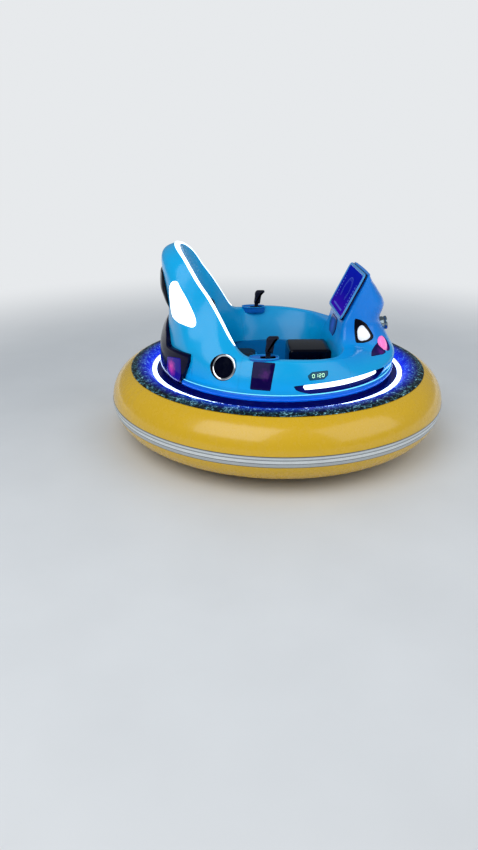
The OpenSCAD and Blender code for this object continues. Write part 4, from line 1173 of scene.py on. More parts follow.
def make_lever(side):
    """One steering lever: pin and hub, a bellows round its neck, and a moulded grip with a level head."""
    at = (LEVER_X, LEVER_Y, LEVER_Z)
    grip = rounded_block(softened(GRIP_LINE, 7, 120), -GRIP_HALF_W, GRIP_HALF_W, 13.0, Facing(at, *SIDEWAYS))
    z = np.linspace(9, 27, 55)
    radius = BELLOWS_R + FOLD_DEPTH * np.cos((z - 9) * 2 * np.pi / FOLD_STEP)
    neck = lathe_about([(0, 4), (8, 4), (9.5, 9), *zip(radius, z), (9, 30), (0, 30)], Facing(at, 0, 90), 48)
    across = Facing(at, 90, 0)
    hub = lathe_about([(0, -13), (10.5, -13), (12, -11.5), (12, 11.5), (10.5, 13), (0, 13)], across, 48)
    pin = lathe_about([(0, -25), (3.2, -25), (4, -24.2), (4, 24.2), (3.2, 25), (0, 25)], across, 32, slot=1)
    piece("lever_%s_grip" % side, on_side([grip, neck, hub, pin], SIDES[side]), ["grip_rubber", "zinc"],
          body="lever_" + side, replaces=["lever_" + side], angle=40)


def make_sill(side):
    """One sill: the low wall beside the rider, with the beds of its pod, panel, display and light bar."""
    wall, *cutters = on_side([
        shell_part(NOSE_TO + SHELL_GAP, SEAT_FROM - SHELL_GAP, 1.0), pod_cutter(), PANEL.pocket(),
        DISPLAY.pocket(), recess_cutter()], SIDES[side])
    name = "sill_%s_skin" % side
    piece(name, cut(make_mesh(name, [wall]), cutters), ["gelcoat", "recess_blue"],
          replaces=["sill_" + side])


# How far the nose reaches past its ends before it is trimmed, in degrees
NOSE_OVER = 3.0
# The farthest that a step towards the nose's form moves a vertex
STEP_MOST = 12


def neighbour_mean(points, edges):
    """The mean of each vertex's neighbours."""
    total = np.zeros_like(points)
    count = np.zeros(len(points))
    for a, b in ((0, 1), (1, 0)):
        for k in range(3):
            total[:, k] += np.bincount(edges[:, a], points[edges[:, b], k], len(points))
        count += np.bincount(edges[:, a], minlength=len(points))
    return total / np.maximum(count, 1)[:, None]


def mesh_points(mesh):
    """The places of the mesh's vertices, in millimetres."""
    co = np.empty(len(mesh.vertices) * 3, np.float32)
    mesh.vertices.foreach_get("co", co)
    return co.reshape(-1, 3).astype(float) / MM


def mesh_normals(mesh):
    """The normals of the mesh's vertices."""
    normal = np.empty(len(mesh.vertices) * 3, np.float32)
    mesh.vertex_normals.foreach_get("vector", normal)
    return normal.reshape(-1, 3)


def set_points(mesh, points):
    """Moves the mesh's vertices to points in millimetres."""
    mesh.vertices.foreach_set("co", (points * MM).astype(np.float32).ravel())
    mesh.update()


def voxelled(mesh, size):
    """The mesh made anew from voxels of a size in metres."""
    obj = linked("voxel_form", mesh)
    step = obj.modifiers.new("voxels", "REMESH")
    step.mode = "VOXEL"
    step.voxel_size = size
    result = evaluated(obj)
    bpy.data.objects.remove(obj)
    return result


def blended_nose():
    """Wall and housing voxelled into one skin, which then settles on the zero of their smooth minimum."""
    levels = np.concatenate([np.linspace(BODY_Z, 866, 70), [872, HOUSING[-1, 0]]])
    housing = grid_part(housing_outline(levels, whole_turn(120)), wrap_cols=True, caps=True)
    reach = NOSE_TO + NOSE_OVER
    base = make_mesh("nose_base", [shell_part(-reach, reach, 1.5), housing])
    mesh = voxelled(base, sizes().nose_voxel)
    edges = np.empty(len(mesh.edges) * 2, np.int32)
    mesh.edges.foreach_get("vertices", edges)
    edges = edges.reshape(-1, 2)
    points = mesh_points(mesh)
    for _ in range(3):
        points += 0.5 * (neighbour_mean(points, edges) - points)
        for _ in range(2):
            set_points(mesh, points)
            gap = np.clip(nose_field(points), -STEP_MOST, STEP_MOST)
            points -= mesh_normals(mesh) * gap[:, None]
    set_points(mesh, points)
    return mesh


def trimmed(mesh, normals):
    """A closed mesh cut off outside planes through the car's middle, with the cut faces closed."""
    bm = bmesh.new()
    bm.from_mesh(mesh)
    for normal in normals:
        found = bmesh.ops.bisect_plane(bm, geom=[*bm.verts, *bm.edges, *bm.faces], dist=1e-6,
                                       plane_co=(0, 0, 0), plane_no=normal, clear_outer=True)
        rim = [e for e in found["geom_cut"] if isinstance(e, bmesh.types.BMEdge)]
        bmesh.ops.holes_fill(bm, edges=rim, sides=0)
    bmesh.ops.recalc_face_normals(bm, faces=bm.faces)
    bm.to_mesh(mesh)
    bm.free()
    return mesh


SCREEN_HALF_W = 185.0
SCREEN_HALF_L = 129.0
SCREEN_RATIO = 1.434
SCREEN_RIM = 14.0
SCREEN = Facing((370, 0, 759), 180, 26)


def make_nose():
    """Nose and screen housing as one moulded skin, with the beds of its lamps."""
    edge = np.radians(NOSE_TO - SHELL_GAP)
    mesh = trimmed(blended_nose(), [(-np.sin(edge), sign * np.cos(edge), 0) for sign in SIDES.values()])
    beds = mirrored([plain_pocket(FOG, FOG_R + 1, 20), HEADLAMP.pocket(14), MOUTH.pocket(22),
                     recess_cutter()])
    mesh = cut(mesh, beds + [CONSOLE.pocket(), plain_pocket(NOSE_LAMP, NOSE_LAMP_R + 1, 0)])
    piece("nose_skin", mesh, ["gelcoat", "recess_blue"], replaces=["nose_shell"])


def tube_point(angle, lift):
    """A point of the ring's section at an angle from level, in degrees."""
    a = np.radians(angle)
    return np.stack([RING_MID + (TUBE_R + lift) * np.cos(a), TUBE_Z + (TUBE_R + lift) * np.sin(a)], -1)


WELD_W = 9.0
RING_STEPS = 480
# Beside a weld: where the first one stands, as a share of the way to the next, how far the skin is drawn in,
# how far the lap stands up, and the height of the puckers
WELD_START = 0.37
WELD_PULL = 1.3
WELD_LAP = 0.9
PUCKER = 1.2


def make_ring():
    """The inflated ring: a torus whose lap welds stand up a little and draw the skin in beside them."""
    u = np.linspace(0, 360, RING_STEPS, endpoint=False)[:, None]
    v = np.linspace(-180, 180, 120, endpoint=False)[None]
    welds = sizes().welds
    beside = (u * welds / 360 + WELD_START) % 1.0
    run = np.minimum(beside, 1 - beside) * 2 * np.pi * RING_MID / welds
    pull = -WELD_PULL * np.exp(-(run / 26) ** 2)
    lap = WELD_LAP / (1 + np.exp((run - WELD_W) / 1.1))
    inner = 0.5 * (1 - np.cos(np.radians(v)))
    wave = np.sin(np.radians(u) * 90 + 2 * np.sin(np.radians(v)))
    pucker = PUCKER * inner * wave * np.exp(-(run / 60) ** 2)
    rz = tube_point(v + 0 * u, pull + lap + pucker)
    deck = np.interp(rz[..., 0], [GROOVE_R, FOLD_R], [GROOVE_Z - 2, FOLD_Z - 3])
    drawn = (rz[..., 0] < FOLD_R) & (rz[..., 1] > TUBE_Z)
    rz[..., 1] = np.where(drawn, np.minimum(rz[..., 1], np.maximum(deck, GROOVE_Z - 40)), rz[..., 1])
    rz[..., 1] = np.where(drawn & (rz[..., 0] < GROOVE_R), np.minimum(rz[..., 1], GROOVE_Z - 12), rz[..., 1])
    part = grid_part(spin(rz, u[:, 0]), wrap_rows=True, wrap_cols=True)
    piece("ring_skin", [part], ["ring_vinyl"], replaces=["ring_tube"], angle=60)


def make_stripe():
    """The reflective band round the ring: a thin strip with welded edges, on the tube's outer side."""
    half = np.degrees(STRIPE_H / 2 / TUBE_R)
    middle = np.degrees(np.arcsin((STRIPE_Z - TUBE_Z) / TUBE_R))
    share = np.linspace(-1, 1, 25)
    rz = tube_point(middle + half * share, 0.1 + 1.2 * (1 - share ** 8))
    bearing = np.linspace(0, 360, RING_STEPS, endpoint=False)
    part = grid_part(spin(np.tile(rz[None], (RING_STEPS, 1, 1)), bearing), wrap_rows=True)
    piece("ring_stripe_band", [part], ["stripe_film"], replaces=["ring_stripe"],
          angle=60, open_sheet=True)


# Steps round the deck
DECK_STEPS = 900
# The middle circle's radius and the section's length, in millimetres
DECK_MID_R = 745
DECK_RUN = 119


def deck_line():
    """Section of the deck cover: over the tube, then down to the groove. (radius, height) points."""
    out = np.degrees(np.arccos((DECK_OUT_R - RING_MID) / TUBE_R))
    fold = np.degrees(np.arccos((FOLD_R - RING_MID) / TUBE_R))
    over = tube_point(np.linspace(out, fold, 30), 2.2)
    down = np.linspace((FOLD_R, FOLD_Z + 2), (GROOVE_R, GROOVE_Z + 5), 16)
    return np.vstack([over, down[1:]])


def make_deck():
    """The black fabric over the ring's top: crossed ripples, deeper at the groove, with radial pleats."""
    line = deck_line()
    b = np.radians(np.linspace(0, 360, DECK_STEPS, endpoint=False))[:, None]
    share = np.linspace(0, 1, len(line))[None]
    arc = b * DECK_MID_R
    run = share * DECK_RUN
    fine = ripples(arc, run * 1.6, 26, 0.10, 0.42, 5)
    broad = ripples(arc, run * 0.7, 12, 0.02, 0.07, 9)
    ridged = 1 - np.abs(np.clip(fine, -1.4, 1.4)) / 0.55
    hold = np.sin(np.pi * np.clip(share * 1.04, 0, 1)) ** 0.6
    pleat = np.sin(arc * 0.115 + 1.4 * broad) * np.clip((share - 0.5) * 2, 0, 1)
    lift = hold * (sizes().ripple / MM * (ridged + broad) + 1.1 * pleat)
    lift = np.clip(lift, -1.9, 2.6)
    slope = np.gradient(line, axis=0)
    normal = np.stack([slope[:, 1], -slope[:, 0]], 1)
    normal /= np.linalg.norm(normal, axis=1, keepdims=True)
    grid = spin(line[None] + lift[..., None] * normal[None], np.degrees(b[:, 0]))
    obj = piece("deck_fabric", [grid_part(grid, wrap_rows=True)], ["deck_fabric"], replaces=["deck_cover"],
                angle=180, open_sheet=True)


def make_led_ring():
    """The lit strip in the groove: a low dome of silicone on a flat base."""
    mid, half = (LED_IN_R + LED_OUT_R) / 2, (LED_OUT_R - LED_IN_R) / 2
    a = np.linspace(0, np.pi, 13)
    dome = np.column_stack([mid + half * np.cos(a), GROOVE_Z + 0.6 + (LED_T - 0.6) * np.sin(a) ** 0.5])
    base = [(mid - half, GROOVE_Z + 0.3), (mid + half, GROOVE_Z + 0.3)]
    piece("led_ring_strip", [lathe_part(np.vstack([dome, base]))], ["ring_light"],
          replaces=["led_ring"], angle=50)


def make_belt():
    """The rounded bead round the body's foot: a half round on a short flat, with a fine glowing line above
    that is a painted highlight.
    """
    a = np.linspace(np.pi / 2, -np.pi / 2, 19)
    bead = np.column_stack([BODY_R + BELT_FLAT * 0.35 + (BELT_H / 2 - 3.5) * np.cos(a),
                            BODY_Z + BELT_H / 2 + (BELT_H / 2) * np.sin(a)])
    profile = np.vstack([[(BODY_R + 0.3, BELT_Z)], bead, [(BODY_R + 0.3, BODY_Z)]])
    # Painted highlight: a thin glowing tube along the bead's top stands for light caught on its rounded edge
    turn = np.radians(range(0, 360, 30))
    line = np.column_stack([BODY_R + 7.5 + 2.8 * np.cos(turn), BELT_Z - 1.2 + 2.4 * np.sin(turn)])
    piece("body_bead_line", [lathe_part(line, -BELT_TO, BELT_TO, 420)], ["edge_light"],
          angle=60)
    piece("body_bead", [lathe_part(profile, -BELT_TO, BELT_TO, 420)], ["belt_blue"],
          replaces=["body_belt"], angle=50)


# Rear: the cover on the back and the moulding that holds the tail lamps
# Columns: radius, height
COVER_LINE = np.array([
    (584, 692), (597, 724), (606, 761), (614, 793), (618, 829), (617, 878), (610, 890)], float)
MOULDING_LINE = np.array([
    (626, 371), (635, 395), (633, 460), (628, 520), (610, 585), (586, 632)], float)
# Half outline of its top edge from behind: the tall middle, a steep fall and a level wing
MOULDING_EDGE = np.array([
    (0, 632), (60, 631), (100, 620), (140, 602), (176, 578), (198, 552), (214, 537), (250, 535), (321, 540),
    (393, 543), (460, 536)], float)
# Its slanting end. Columns: height, bearing
MOULDING_END = np.array([
    (371, 144.3), (389, 143.2), (434, 141.2), (476, 139.0), (508, 137.8), (632, 137.8)], float)


def smooth_line(points, count):
    """Catmull-Rom through points, as (count, 2)."""
    return along(points[:, None, :], np.linspace(0, 1, count))[:, 0]


def moulding_radius(z):
    """Outer radius of the rear moulding at each height."""
    line = smooth_line(MOULDING_LINE, 80)
    return np.interp(z, line[:, 1], line[:, 0])


def moulding_field(p):
    """Distance outside the rear moulding, by radius at the point's own height."""
    return np.hypot(p[:, 0], p[:, 1]) - moulding_radius(p[:, 2])


TAIL_LAMP = Feature((-550, 317.5, 440), 150, 0, [
    (-76, 72), (-19, 62), (68, 44), (70, -12), (52, -50), (-3, -57), (-62, -54), (-80, -10)], 14,
    moulding_field)


def plate_part(outer, inner, z, bearing):
    """A closed plate between two radii at each of its heights and bearings."""
    turn = np.broadcast_to(bearing, z.shape)
    grid = np.concatenate([np.stack([outer, z], -1), np.stack([inner, z], -1)[:, ::-1]], 1)
    return grid_part(spin(grid, np.concatenate([turn, turn[:, ::-1]], 1)), wrap_cols=True, caps=True)


def rear_moulding_part():
    """The lower moulding: its end's bearing follows the height, its top edge the distance from the middle."""
    bearing = np.linspace(REAR_FROM, 360 - REAR_FROM, 220)
    across = (BODY_R - 4) * np.abs(np.sin(np.radians(bearing)))
    edge = smooth_line(MOULDING_EDGE, 90)
    top = np.interp(across, edge[:, 0], edge[:, 1])[:, None]
    z = BODY_Z + (top - BODY_Z) * np.linspace(0, 1, 40)[None]
    reach = 180 - np.interp(z, MOULDING_END[:, 0], MOULDING_END[:, 1])
    turn = 180 + (bearing[:, None] - 180) * reach / (180 - REAR_FROM)
    edge_round = 5 * (1 - np.clip((top - z) / 7, 0, 1)) ** 2
    outer = moulding_radius(z) - edge_round
    inner = np.minimum(wall_radius(turn, z) + 0.5, outer - 0.6)
    return plate_part(outer, inner, z, turn)


def back_cover_part():
    """The upper cover: a plate that swells by a half sine between its foot and its top."""
    bearing = np.linspace(COVER_FROM, 360 - COVER_FROM, 60)[:, None]
    line = smooth_line(COVER_LINE, 40)
    z = line[None, :, 1] + 0 * bearing
    side = np.clip(1 - np.abs(bearing - 180) / (180 - COVER_FROM), 0, 1)
    swell = 8 * np.sin(np.pi * np.linspace(0, 1, 40))[None] * np.sqrt(np.clip(side * 3, 0, 1))
    wall = wall_radius(bearing, z)
    return plate_part(np.maximum(wall + 1.0, line[None, :, 0] - 8 + swell), wall + 0.4, z, bearing)


def make_rear():
    """Two gloss black mouldings seated on the shell: the lower one holds the tail lamps."""
    mesh = cut(make_mesh("rear_moulding", [rear_moulding_part()]), mirrored([TAIL_LAMP.pocket(6.0)]))
    piece("rear_moulding", mesh, ["smoked_blue", "gloss_black"], replaces=["rear_cover"])
    piece("rear_back_cover", [back_cover_part()], ["gloss_black"])


# Draped plates. Columns: piece, outline, lift, finish, node that it stands for, slot
PLATES = [
    ("side_lamp_lenses", SIDE_LAMP, 0.0, "white_light", "side_lamps", "led_light"),
    ("tail_lamp_lenses", TAIL_LAMP, 0.0, "tail_glow", "tail_lamps", "lamp_violet"),
    ("headlamp_frames", HEADLAMP, -1.5, "gloss_black", "headlamps", "gloss_black"),
    ("headlamp_lenses", HEADLAMP_LENS, 1.0, "headlamp_glow", None, "lamp_white"),
    ("mouth_panels", MOUTH, -5.0, "mouth_glow", "mouth_grilles", "gloss_black"),
    ("side_panel_plates", PANEL, -1.0, "panel_glow", "side_panels", "gloss_black"),
    ("display_plates", DISPLAY, -1.0, "display_teal", "number_displays", "gloss_black"),
    ("console_lens", CONSOLE, 0.0, "console_glow", "console_panel", "lamp_violet"),
]


def make_lamps():
    """Side lamps, tail lamps, headlamps with their black frames, mouths, panels and the console's panel."""
    for name, feature, lift, finish, node, slot in PLATES:
        lens = [feature.lens(lift)]
        piece(name, lens if feature is CONSOLE else mirrored(lens), [finish],
              replaces=[node] if node else ())
    fog = lathe_about([(0, 9), (FOG_R * 0.5, 7.5), (FOG_R * 0.8, 4.5), (FOG_R - 2, 1.5), (FOG_R, 0),
                       (FOG_R, -18), (0, -18)], FOG)
    piece("fog_lamp_lenses", mirrored([fog]), ["lamp_pink"], replaces=["fog_lamps"])


def make_arch():
    """The lit strip round the seat shell's front edge: a flat bead along the lip, pointed at its ends."""
    bearing = np.linspace(120, 240, 241)
    row = sections_at(bearing)
    out, back = row[:, 3:5], row[:, 5:7]
    width = np.linalg.norm(out - back, axis=1, keepdims=True)
    across = (out - back) / width
    up = np.stack([-across[:, 1], across[:, 0]], 1)
    point = np.clip((60 - np.abs(bearing - 180)) / 3.0, 0.12, 1)[:, None]
    middle = (out + back) / 2
    half = (width / 2 - 2) * point
    ring = [middle + across * half * np.cos(t) + up * (1.6 + 4.6 * np.sin(t) ** 0.6)
            for t in np.linspace(0, np.pi, 11)]
    ring += [middle - across * half + up * 1.4, middle + across * half + up * 1.4]
    grid = spin(np.stack(ring, 1), bearing)
    piece("arch_strip", [grid_part(grid, wrap_cols=True, caps=True)], ["white_light"],
          replaces=["arch_light"], angle=50)


def make_light_bars():
    """Light bars: rods of a long round section with round ends, bent along the recess."""
    bearing = np.linspace(BAR_FROM, BAR_TO, 120)
    length = np.radians(bearing - BAR_FROM) * RECESS_FLOOR
    left = np.minimum(length, length[-1] - length)
    thick = np.linspace(10.5, 13.0, len(bearing))
    end = np.sqrt(np.clip(1 - (1 - np.clip(left / thick, 0, 1)) ** 2, 0.002, 1))[:, None]
    a = whole_turn(24)[None]
    z = BAR_Z + thick[:, None] * end * np.sin(a)
    grid = spin(leaned(RECESS_FLOOR + 7 + 8 * end * np.cos(a), z), bearing)
    piece("light_bar_rods", mirrored([grid_part(grid, wrap_cols=True, caps=True)]), ["white_light"],
          replaces=["light_bars"], angle=60)


def make_speakers():
    """Speakers: a rolled chrome rim round a rubber surround, a cone and a domed cap."""
    rim = [(0, 0), (63.5, 0), (63.5, 16), (62.6, 19), (60, 20.6), (56, 20.6), (52.6, 18.6), (51, 15.5),
           (50.6, 3), (0, 3)]
    roll = [(0, 9.5), (50.2, 9.5), (50.2, 13.5), (48, 15.8), (45.5, 16.2), (43, 15), (41, 12.4), (38, 11.6),
            (24, 7.4), (19, 6.4), (17, 8.4), (12, 12.2), (6, 13.9), (0, 14.4)]
    piece("speaker_rims", mirrored([lathe_about(rim, SPEAKER, 96)]), ["chrome"], replaces=["speakers"])
    piece("speaker_cones", mirrored([lathe_about(roll, SPEAKER, 96)]), ["speaker_cloth"])


def make_nose_lamp():
    """The round lamp on the nose: a stepped chrome tube with a dark domed lens set back in its rim."""
    tube = [(0, 0.5), (NOSE_LAMP_R, 0.5), (NOSE_LAMP_R, 34), (35, 36.5), (33, 38), (33, 44), (35, 45.5),
            (NOSE_LAMP_R, 47), (NOSE_LAMP_R, 53), (35.2, 55.4), (33, 56.4), (30.4, 55.8), (28.8, 53.6),
            (28, 49), (27.8, 45), (0, 45)]
    lens = [(0, 44), (27.4, 44), (27.4, 47.5), (24, 49.4), (16, 51), (8, 51.8), (0, 52)]
    piece("nose_lamp_tube", [lathe_about(tube, NOSE_LAMP, 96)], ["lamp_chrome"], replaces=["nose_lamp"])
    piece("nose_lamp_lens", [lathe_about(lens, NOSE_LAMP, 72)], ["dark_lens"])


def screen_rings(steps, hollow=False):
    """A part from (inset, height) steps of the screen's rounded outline, in the screen's own frame."""
    rings = [(rect_loop(SCREEN_HALF_W - inset, SCREEN_HALF_L - inset, 26 - inset * 0.8), height)
             for inset, height in steps]
    return ringed(rings, SCREEN, hollow=hollow)


def make_screen():
    """The rider's screen: a frame with a soft edge on a dark seal, and a lit glass sunk in it."""
    bezel = screen_rings([(2.5, -2), (0.6, -1), (0, 1), (0, 6.5), (0.7, 8.6), (2.4, 9.8), (5, 10), (11, 10),
                          (12.8, 9.5), (13.7, 8.2), (14, 6), (14, 2.8)])
    piece("screen_bezel", [bezel], ["screen_blue"], replaces=["screen_frame"], angle=50)
    seal = screen_rings([(1.5, -4), (-1.4, -4), (-1.4, 2.6), (0.4, 3.0), (1.5, 2.6)], hollow=True)
    piece("screen_seal", [seal], ["gloss_black"], angle=50)
    rim = SCREEN_RIM + 0.4
    glass = screen_rings([(rim + 0.5, 3.1), (rim, 3.4), (rim, 5.8), (rim + 0.5, 6.1)])
    display = piece("screen_display", [glass], ["screen_display"], replaces=["screen_glass"],
                    angle=30)
    frame_uv(display.data, SCREEN, SCREEN_HALF_W, SCREEN_HALF_L)


def frame_uv(mesh, facing, half_x, half_y):
    """A UV map across a facing frame: -half to +half becomes 0 to 1 along its level and upward axes."""
    local = facing.local(mesh_points(mesh))
    loops = np.empty(len(mesh.loops), np.int32)
    mesh.loops.foreach_get("vertex_index", loops)
    uv = np.column_stack([local[loops, 0] / half_x, local[loops, 1] / half_y]) * 0.5 + 0.5
    layer = mesh.uv_layers.new(name="display")
    layer.data.foreach_set("uv", uv.astype(np.float32).ravel())


# Strokes of a seven-bar figure: 0 top, 1 upper right, 2 lower right, 3 foot, 4 lower left, 5 upper left,
# 6 middle
FIGURES = {"0": (0, 1, 2, 3, 4, 5), "1": (1, 2), "2": (0, 1, 6, 4, 3), "4": (5, 6, 1, 2)}
FIGURE_W = 10.0
FIGURE_H = 15.5
FIGURE_STEP = 16.5
# Half the thickness of a bar, and the figures' slant
FIGURE_T = 1.25
FIGURE_SLANT = 0.12


def figure_bars(text):
    """Centre lines of the lit bars of a row of figures: (x, y, half length, upright) on the display."""
    w, h = FIGURE_W / 2, FIGURE_H / 2
    spots = [(0, h, w, False), (w, h / 2, h / 2, True), (w, -h / 2, h / 2, True), (0, -h, w, False),
             (-w, -h / 2, h / 2, True), (-w, h / 2, h / 2, True), (0, 0, w, False)]
    bars = []
    for k, figure in enumerate(text):
        left = (k - (len(text) - 1) / 2) * FIGURE_STEP
        bars += [(left + spots[i][0], *spots[i][1:]) for i in FIGURES[figure]]
    return bars


def make_figures():
    """Lit figures on both number displays, each row reading the right way from its own side."""
    parts = []
    for sign in SIDES.values():
        for x, y, half, upright in figure_bars(sizes().figures):
            h, t = half - 0.8, FIGURE_T
            bar = np.array([(-h, 0), (-h + t, -t), (h - t, -t), (h, 0), (h - t, t), (-h + t, t)])
            if upright:
                bar = bar[:, ::-1]
            level = bar[:, 0] + x + FIGURE_SLANT * (bar[:, 1] + y)
            loop = np.column_stack([sign * level - 2.0, bar[:, 1] + y])
            depth = DISPLAY.facing.drape(loop, shell_field).mean()
            parts += on_side([ringed([(loop, depth + 1.2), (loop, depth + 3.4)], DISPLAY.facing)], sign)
    piece("display_figures", parts, ["figure_light"], angle=30)


def make_knee_box():
    """The gloss black box between the rider's knees, its edges rounded all round."""
    outline = rect_loop(114, 154.25, 24) + (174, 310.75)
    box = rounded_block(outline, -110, 110, 14, Facing((0, 0, 0), *SIDEWAYS))
    piece("knee_box_cover", [box], ["gloss_black"], replaces=["knee_box"], angle=60)


CLOTH_FRAMES = 20
CLOTH_PRESSURE = 4.0
SEAM_W = 3.2


def inflated(mesh):
    """The mesh voxelled, swelled by a cloth under pressure without gravity, and capped in its movement."""
    scene = bpy.context.scene
    form = voxelled(mesh, sizes().cushion_voxel)
    start = mesh_points(form)
    obj = linked("cushion_form", form)
    cloth = obj.modifiers.new("cloth", "CLOTH")
    cloth.settings.use_pressure = True
    cloth.settings.uniform_pressure_force = CLOTH_PRESSURE
    cloth.settings.effector_weights.gravity = 0.0
    cloth.settings.quality = 5
    cloth.point_cache.frame_start = 1
    cloth.point_cache.frame_end = CLOTH_FRAMES
    for f in range(1, CLOTH_FRAMES + 1):
        scene.frame_set(f)
    swelled = evaluated(obj)
    scene.frame_set(1)
    bpy.data.objects.remove(obj)
    move = mesh_points(swelled) - start
    size = np.linalg.norm(move, axis=1, keepdims=True)
    set_points(swelled, start + move * np.minimum(1, sizes().cushion_cap / MM / np.maximum(size, 1e-6)))
    return swelled


def seamed(mesh, distance):
    """Vertices drawn in along seam lines: depth times exp(-(distance / width)^2), along their normals."""
    points = mesh_points(mesh)
    depth = sizes().seam_depth / MM * np.exp(-(distance(points) / SEAM_W) ** 2)
    set_points(mesh, points - mesh_normals(mesh) * depth[:, None])
    return mesh


# The seat cushion: x of its back and front, half width, height of its foot and top
SEAT_CUSHION = (-306.0, -95.0, 240.0, 330.0, 380.0)
# The back cushion's frame: z up along the leaning back, y through its thickness
BACK = Facing((-316, 0, 400), 180, 76)
BACK_H = 300.0
BACK_T = 45.0
BACK_HALF_W = 170.0
SWELL = 5.0
# Sewn channels: y on the seat, height on the back
SEAT_SEAMS = np.array([-80.0, 0.0, 80.0])
BACK_SEAMS = np.array([75.0, 150.0, 225.0])
NO_SEAM = 99.0


def make_cushions():
    """Seat and back cushion: blocks a little small, swelled as stuffed vinyl, with sewn channels drawn in."""
    x0, x1, half, low, high = SEAT_CUSHION
    loop = rect_loop((x1 - x0) / 2 - SWELL, half - SWELL, 34, 200) + ((x0 + x1) / 2, 0)
    seat = rounded_block(loop, low + 1.5, high - SWELL, 11, steps=6)
    side, near, far = BACK_HALF_W - SWELL, SWELL, BACK_T - SWELL
    flat = softened([(side, near), (side, far), (-side, far), (-side, near)], 16, 160)
    back = rounded_block(flat, SWELL, BACK_H - SWELL, 12, BACK, 6)

    def seat_seams(p):
        return np.where(p[:, 2] > low + 22, np.abs(p[:, 1:2] - SEAT_SEAMS).min(1), NO_SEAM)

    def back_seams(p):
        local = BACK.local(p)
        return np.where(local[:, 1] > BACK_T * 0.4, np.abs(local[:, 2:3] - BACK_SEAMS).min(1), NO_SEAM)

    for name, part, seams in (("seat_cushion", seat, seat_seams), ("back_cushion", back, back_seams)):
        form = make_mesh(name + "_form", [part])
        form = seamed(inflated(form), seams)
        obj = piece(name + "_pad", form, ["black_vinyl"], replaces=[name], angle=180)
        step = obj.modifiers.new("smooth", "SUBSURF")
        step.levels = step.render_levels = 1


DRIVE_X = -20.0
DRIVE_Y = 450.0
DRIVE_R = 100.0
RIM_R = 66.0
TYRE_W = 46.0


def make_tyres():
    """Drive tyres: a solid ring whose tread has two grooves and slanting cuts, radius by angle and width."""
    a = whole_turn(60)[:, None]
    wall = [(RIM_R + 0.3, 0.6), (78, 0), (89, 0.8), (96, 4)]
    tread = [(DRIVE_R, y) for y in np.linspace(8, TYRE_W - 8, 9)]
    profile = np.array(wall + tread + [(r, TYRE_W - y) for r, y in wall[::-1]])
    r, y = profile[:, 0] + 0 * a, profile[:, 1] + 0 * a
    beside = np.abs(y - TYRE_W / 2)
    on_tread = r > 99
    grooves = on_tread & (np.abs(beside - 7.5) < 2.0)
    cuts = on_tread & (beside > 9) & (np.sin(a * 30 + (y - TYRE_W / 2) * 0.12) > 0.2)
    r = r - 2.6 * grooves - 1.6 * (cuts & ~grooves)
    for side, sign in SIDES.items():
        across = sign * (DRIVE_Y - TYRE_W / 2 + y)
        grid = np.stack([DRIVE_X + r * np.cos(a), across, DRIVE_R + r * np.sin(a)], -1)
        piece("drive_tread_" + side, [grid_part(grid, wrap_rows=True, wrap_cols=True)], ["tyre_rubber"],
              body="drive_wheel_" + side, replaces=["drive_tyre_" + side], angle=25)


def bolt_part(at, yaw, lean, radius, height):
    """A hexagon head on a washer, with its upper edge turned down to a cone."""
    a = np.radians(np.arange(0, 360, 60))
    hexagon = np.column_stack([np.cos(a), np.sin(a)]) * radius
    rings = [(hexagon, -0.5), (hexagon, height * 0.8), (hexagon * 0.86, height)]
    return ringed(rings, Facing(at, yaw, lean))


def axle_bolts(bearings, circle_r, y, radius, height):
    """Bolts on a circle about the left drive wheel's axle, at bearings in degrees."""
    return [bolt_part((DRIVE_X + circle_r * np.cos(a), y, DRIVE_R + circle_r * np.sin(a)), 90, 0, radius,
                      height) for a in np.radians(bearings)]


def make_bolts():
    """Bolt heads on the motor brackets and flanges, under the caster plates and on the rims."""
    parts = mirrored(axle_bolts((35, 145), 40, 193, 5, 4.5) + axle_bolts(range(45, 360, 90), 45, 323, 2.6, 3))
    parts += [bolt_part((x + dx, dy, 120), 0, -90, 6, 5)
              for x in (-400, 400) for dx, dy in ((-40, -40), (40, -40), (40, 40), (-40, 40))]
    piece("frame_bolts", parts, ["zinc"], angle=30)
    nuts = axle_bolts(range(18, 378, 72), 16.5, DRIVE_Y + 20, 3, 4)
    for side, sign in SIDES.items():
        piece("rim_nuts_" + side, on_side(nuts, sign), ["zinc"], body="drive_wheel_" + side,
              angle=30)


PLAIN_NODES = {
    "plinth": "plinth_blue", "cockpit_tub": "liner_gelcoat", "seat_box": "liner_gelcoat",
    "battery": "battery_case", "chassis_hoop": "chassis_paint",
    "chassis_rails": "chassis_paint", "cross_members": "chassis_paint", "drive_motors": "motor_paint",
    "drive_rim_left": "cast_rim", "drive_rim_right": "cast_rim",
    "front_fork": "zinc", "front_caster_wheel": "caster_rubber", "rear_fork": "zinc",
    "rear_caster_wheel": "caster_rubber",
}


def dress_nodes():
    """Gives each carried-over solid of the frame its finish."""
    for name, finish in PLAIN_NODES.items():
        set_materials(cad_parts[name].data, [finish_of(finish)])


CAMERA_AT = (-0.312, -3.427, 1.503)
CAMERA_AIM = (0.0284, 0.9137, -0.405)
LAMP_AIM = (0, 0, 0.4)


def aimed(name, data, at, along, track):
    """A lamp or a camera at a place, with its own axis track turned along a direction."""
    obj = linked(name, data)
    obj.location = at
    obj.rotation_mode = "QUATERNION"
    obj.rotation_quaternion = along.to_track_quat(track, "Y")
    return obj


def make_floor():
    """The pale floor."""
    half = 14.0
    mesh = bpy.data.meshes.new("floor")
    mesh.from_pydata([(-half, -half, 0), (half, -half, 0), (half, half, 0), (-half, half, 0)], [],
                     [(0, 1, 2, 3)])
    mesh.materials.append(finish_of("pale_floor"))
    floor = linked("floor", mesh)


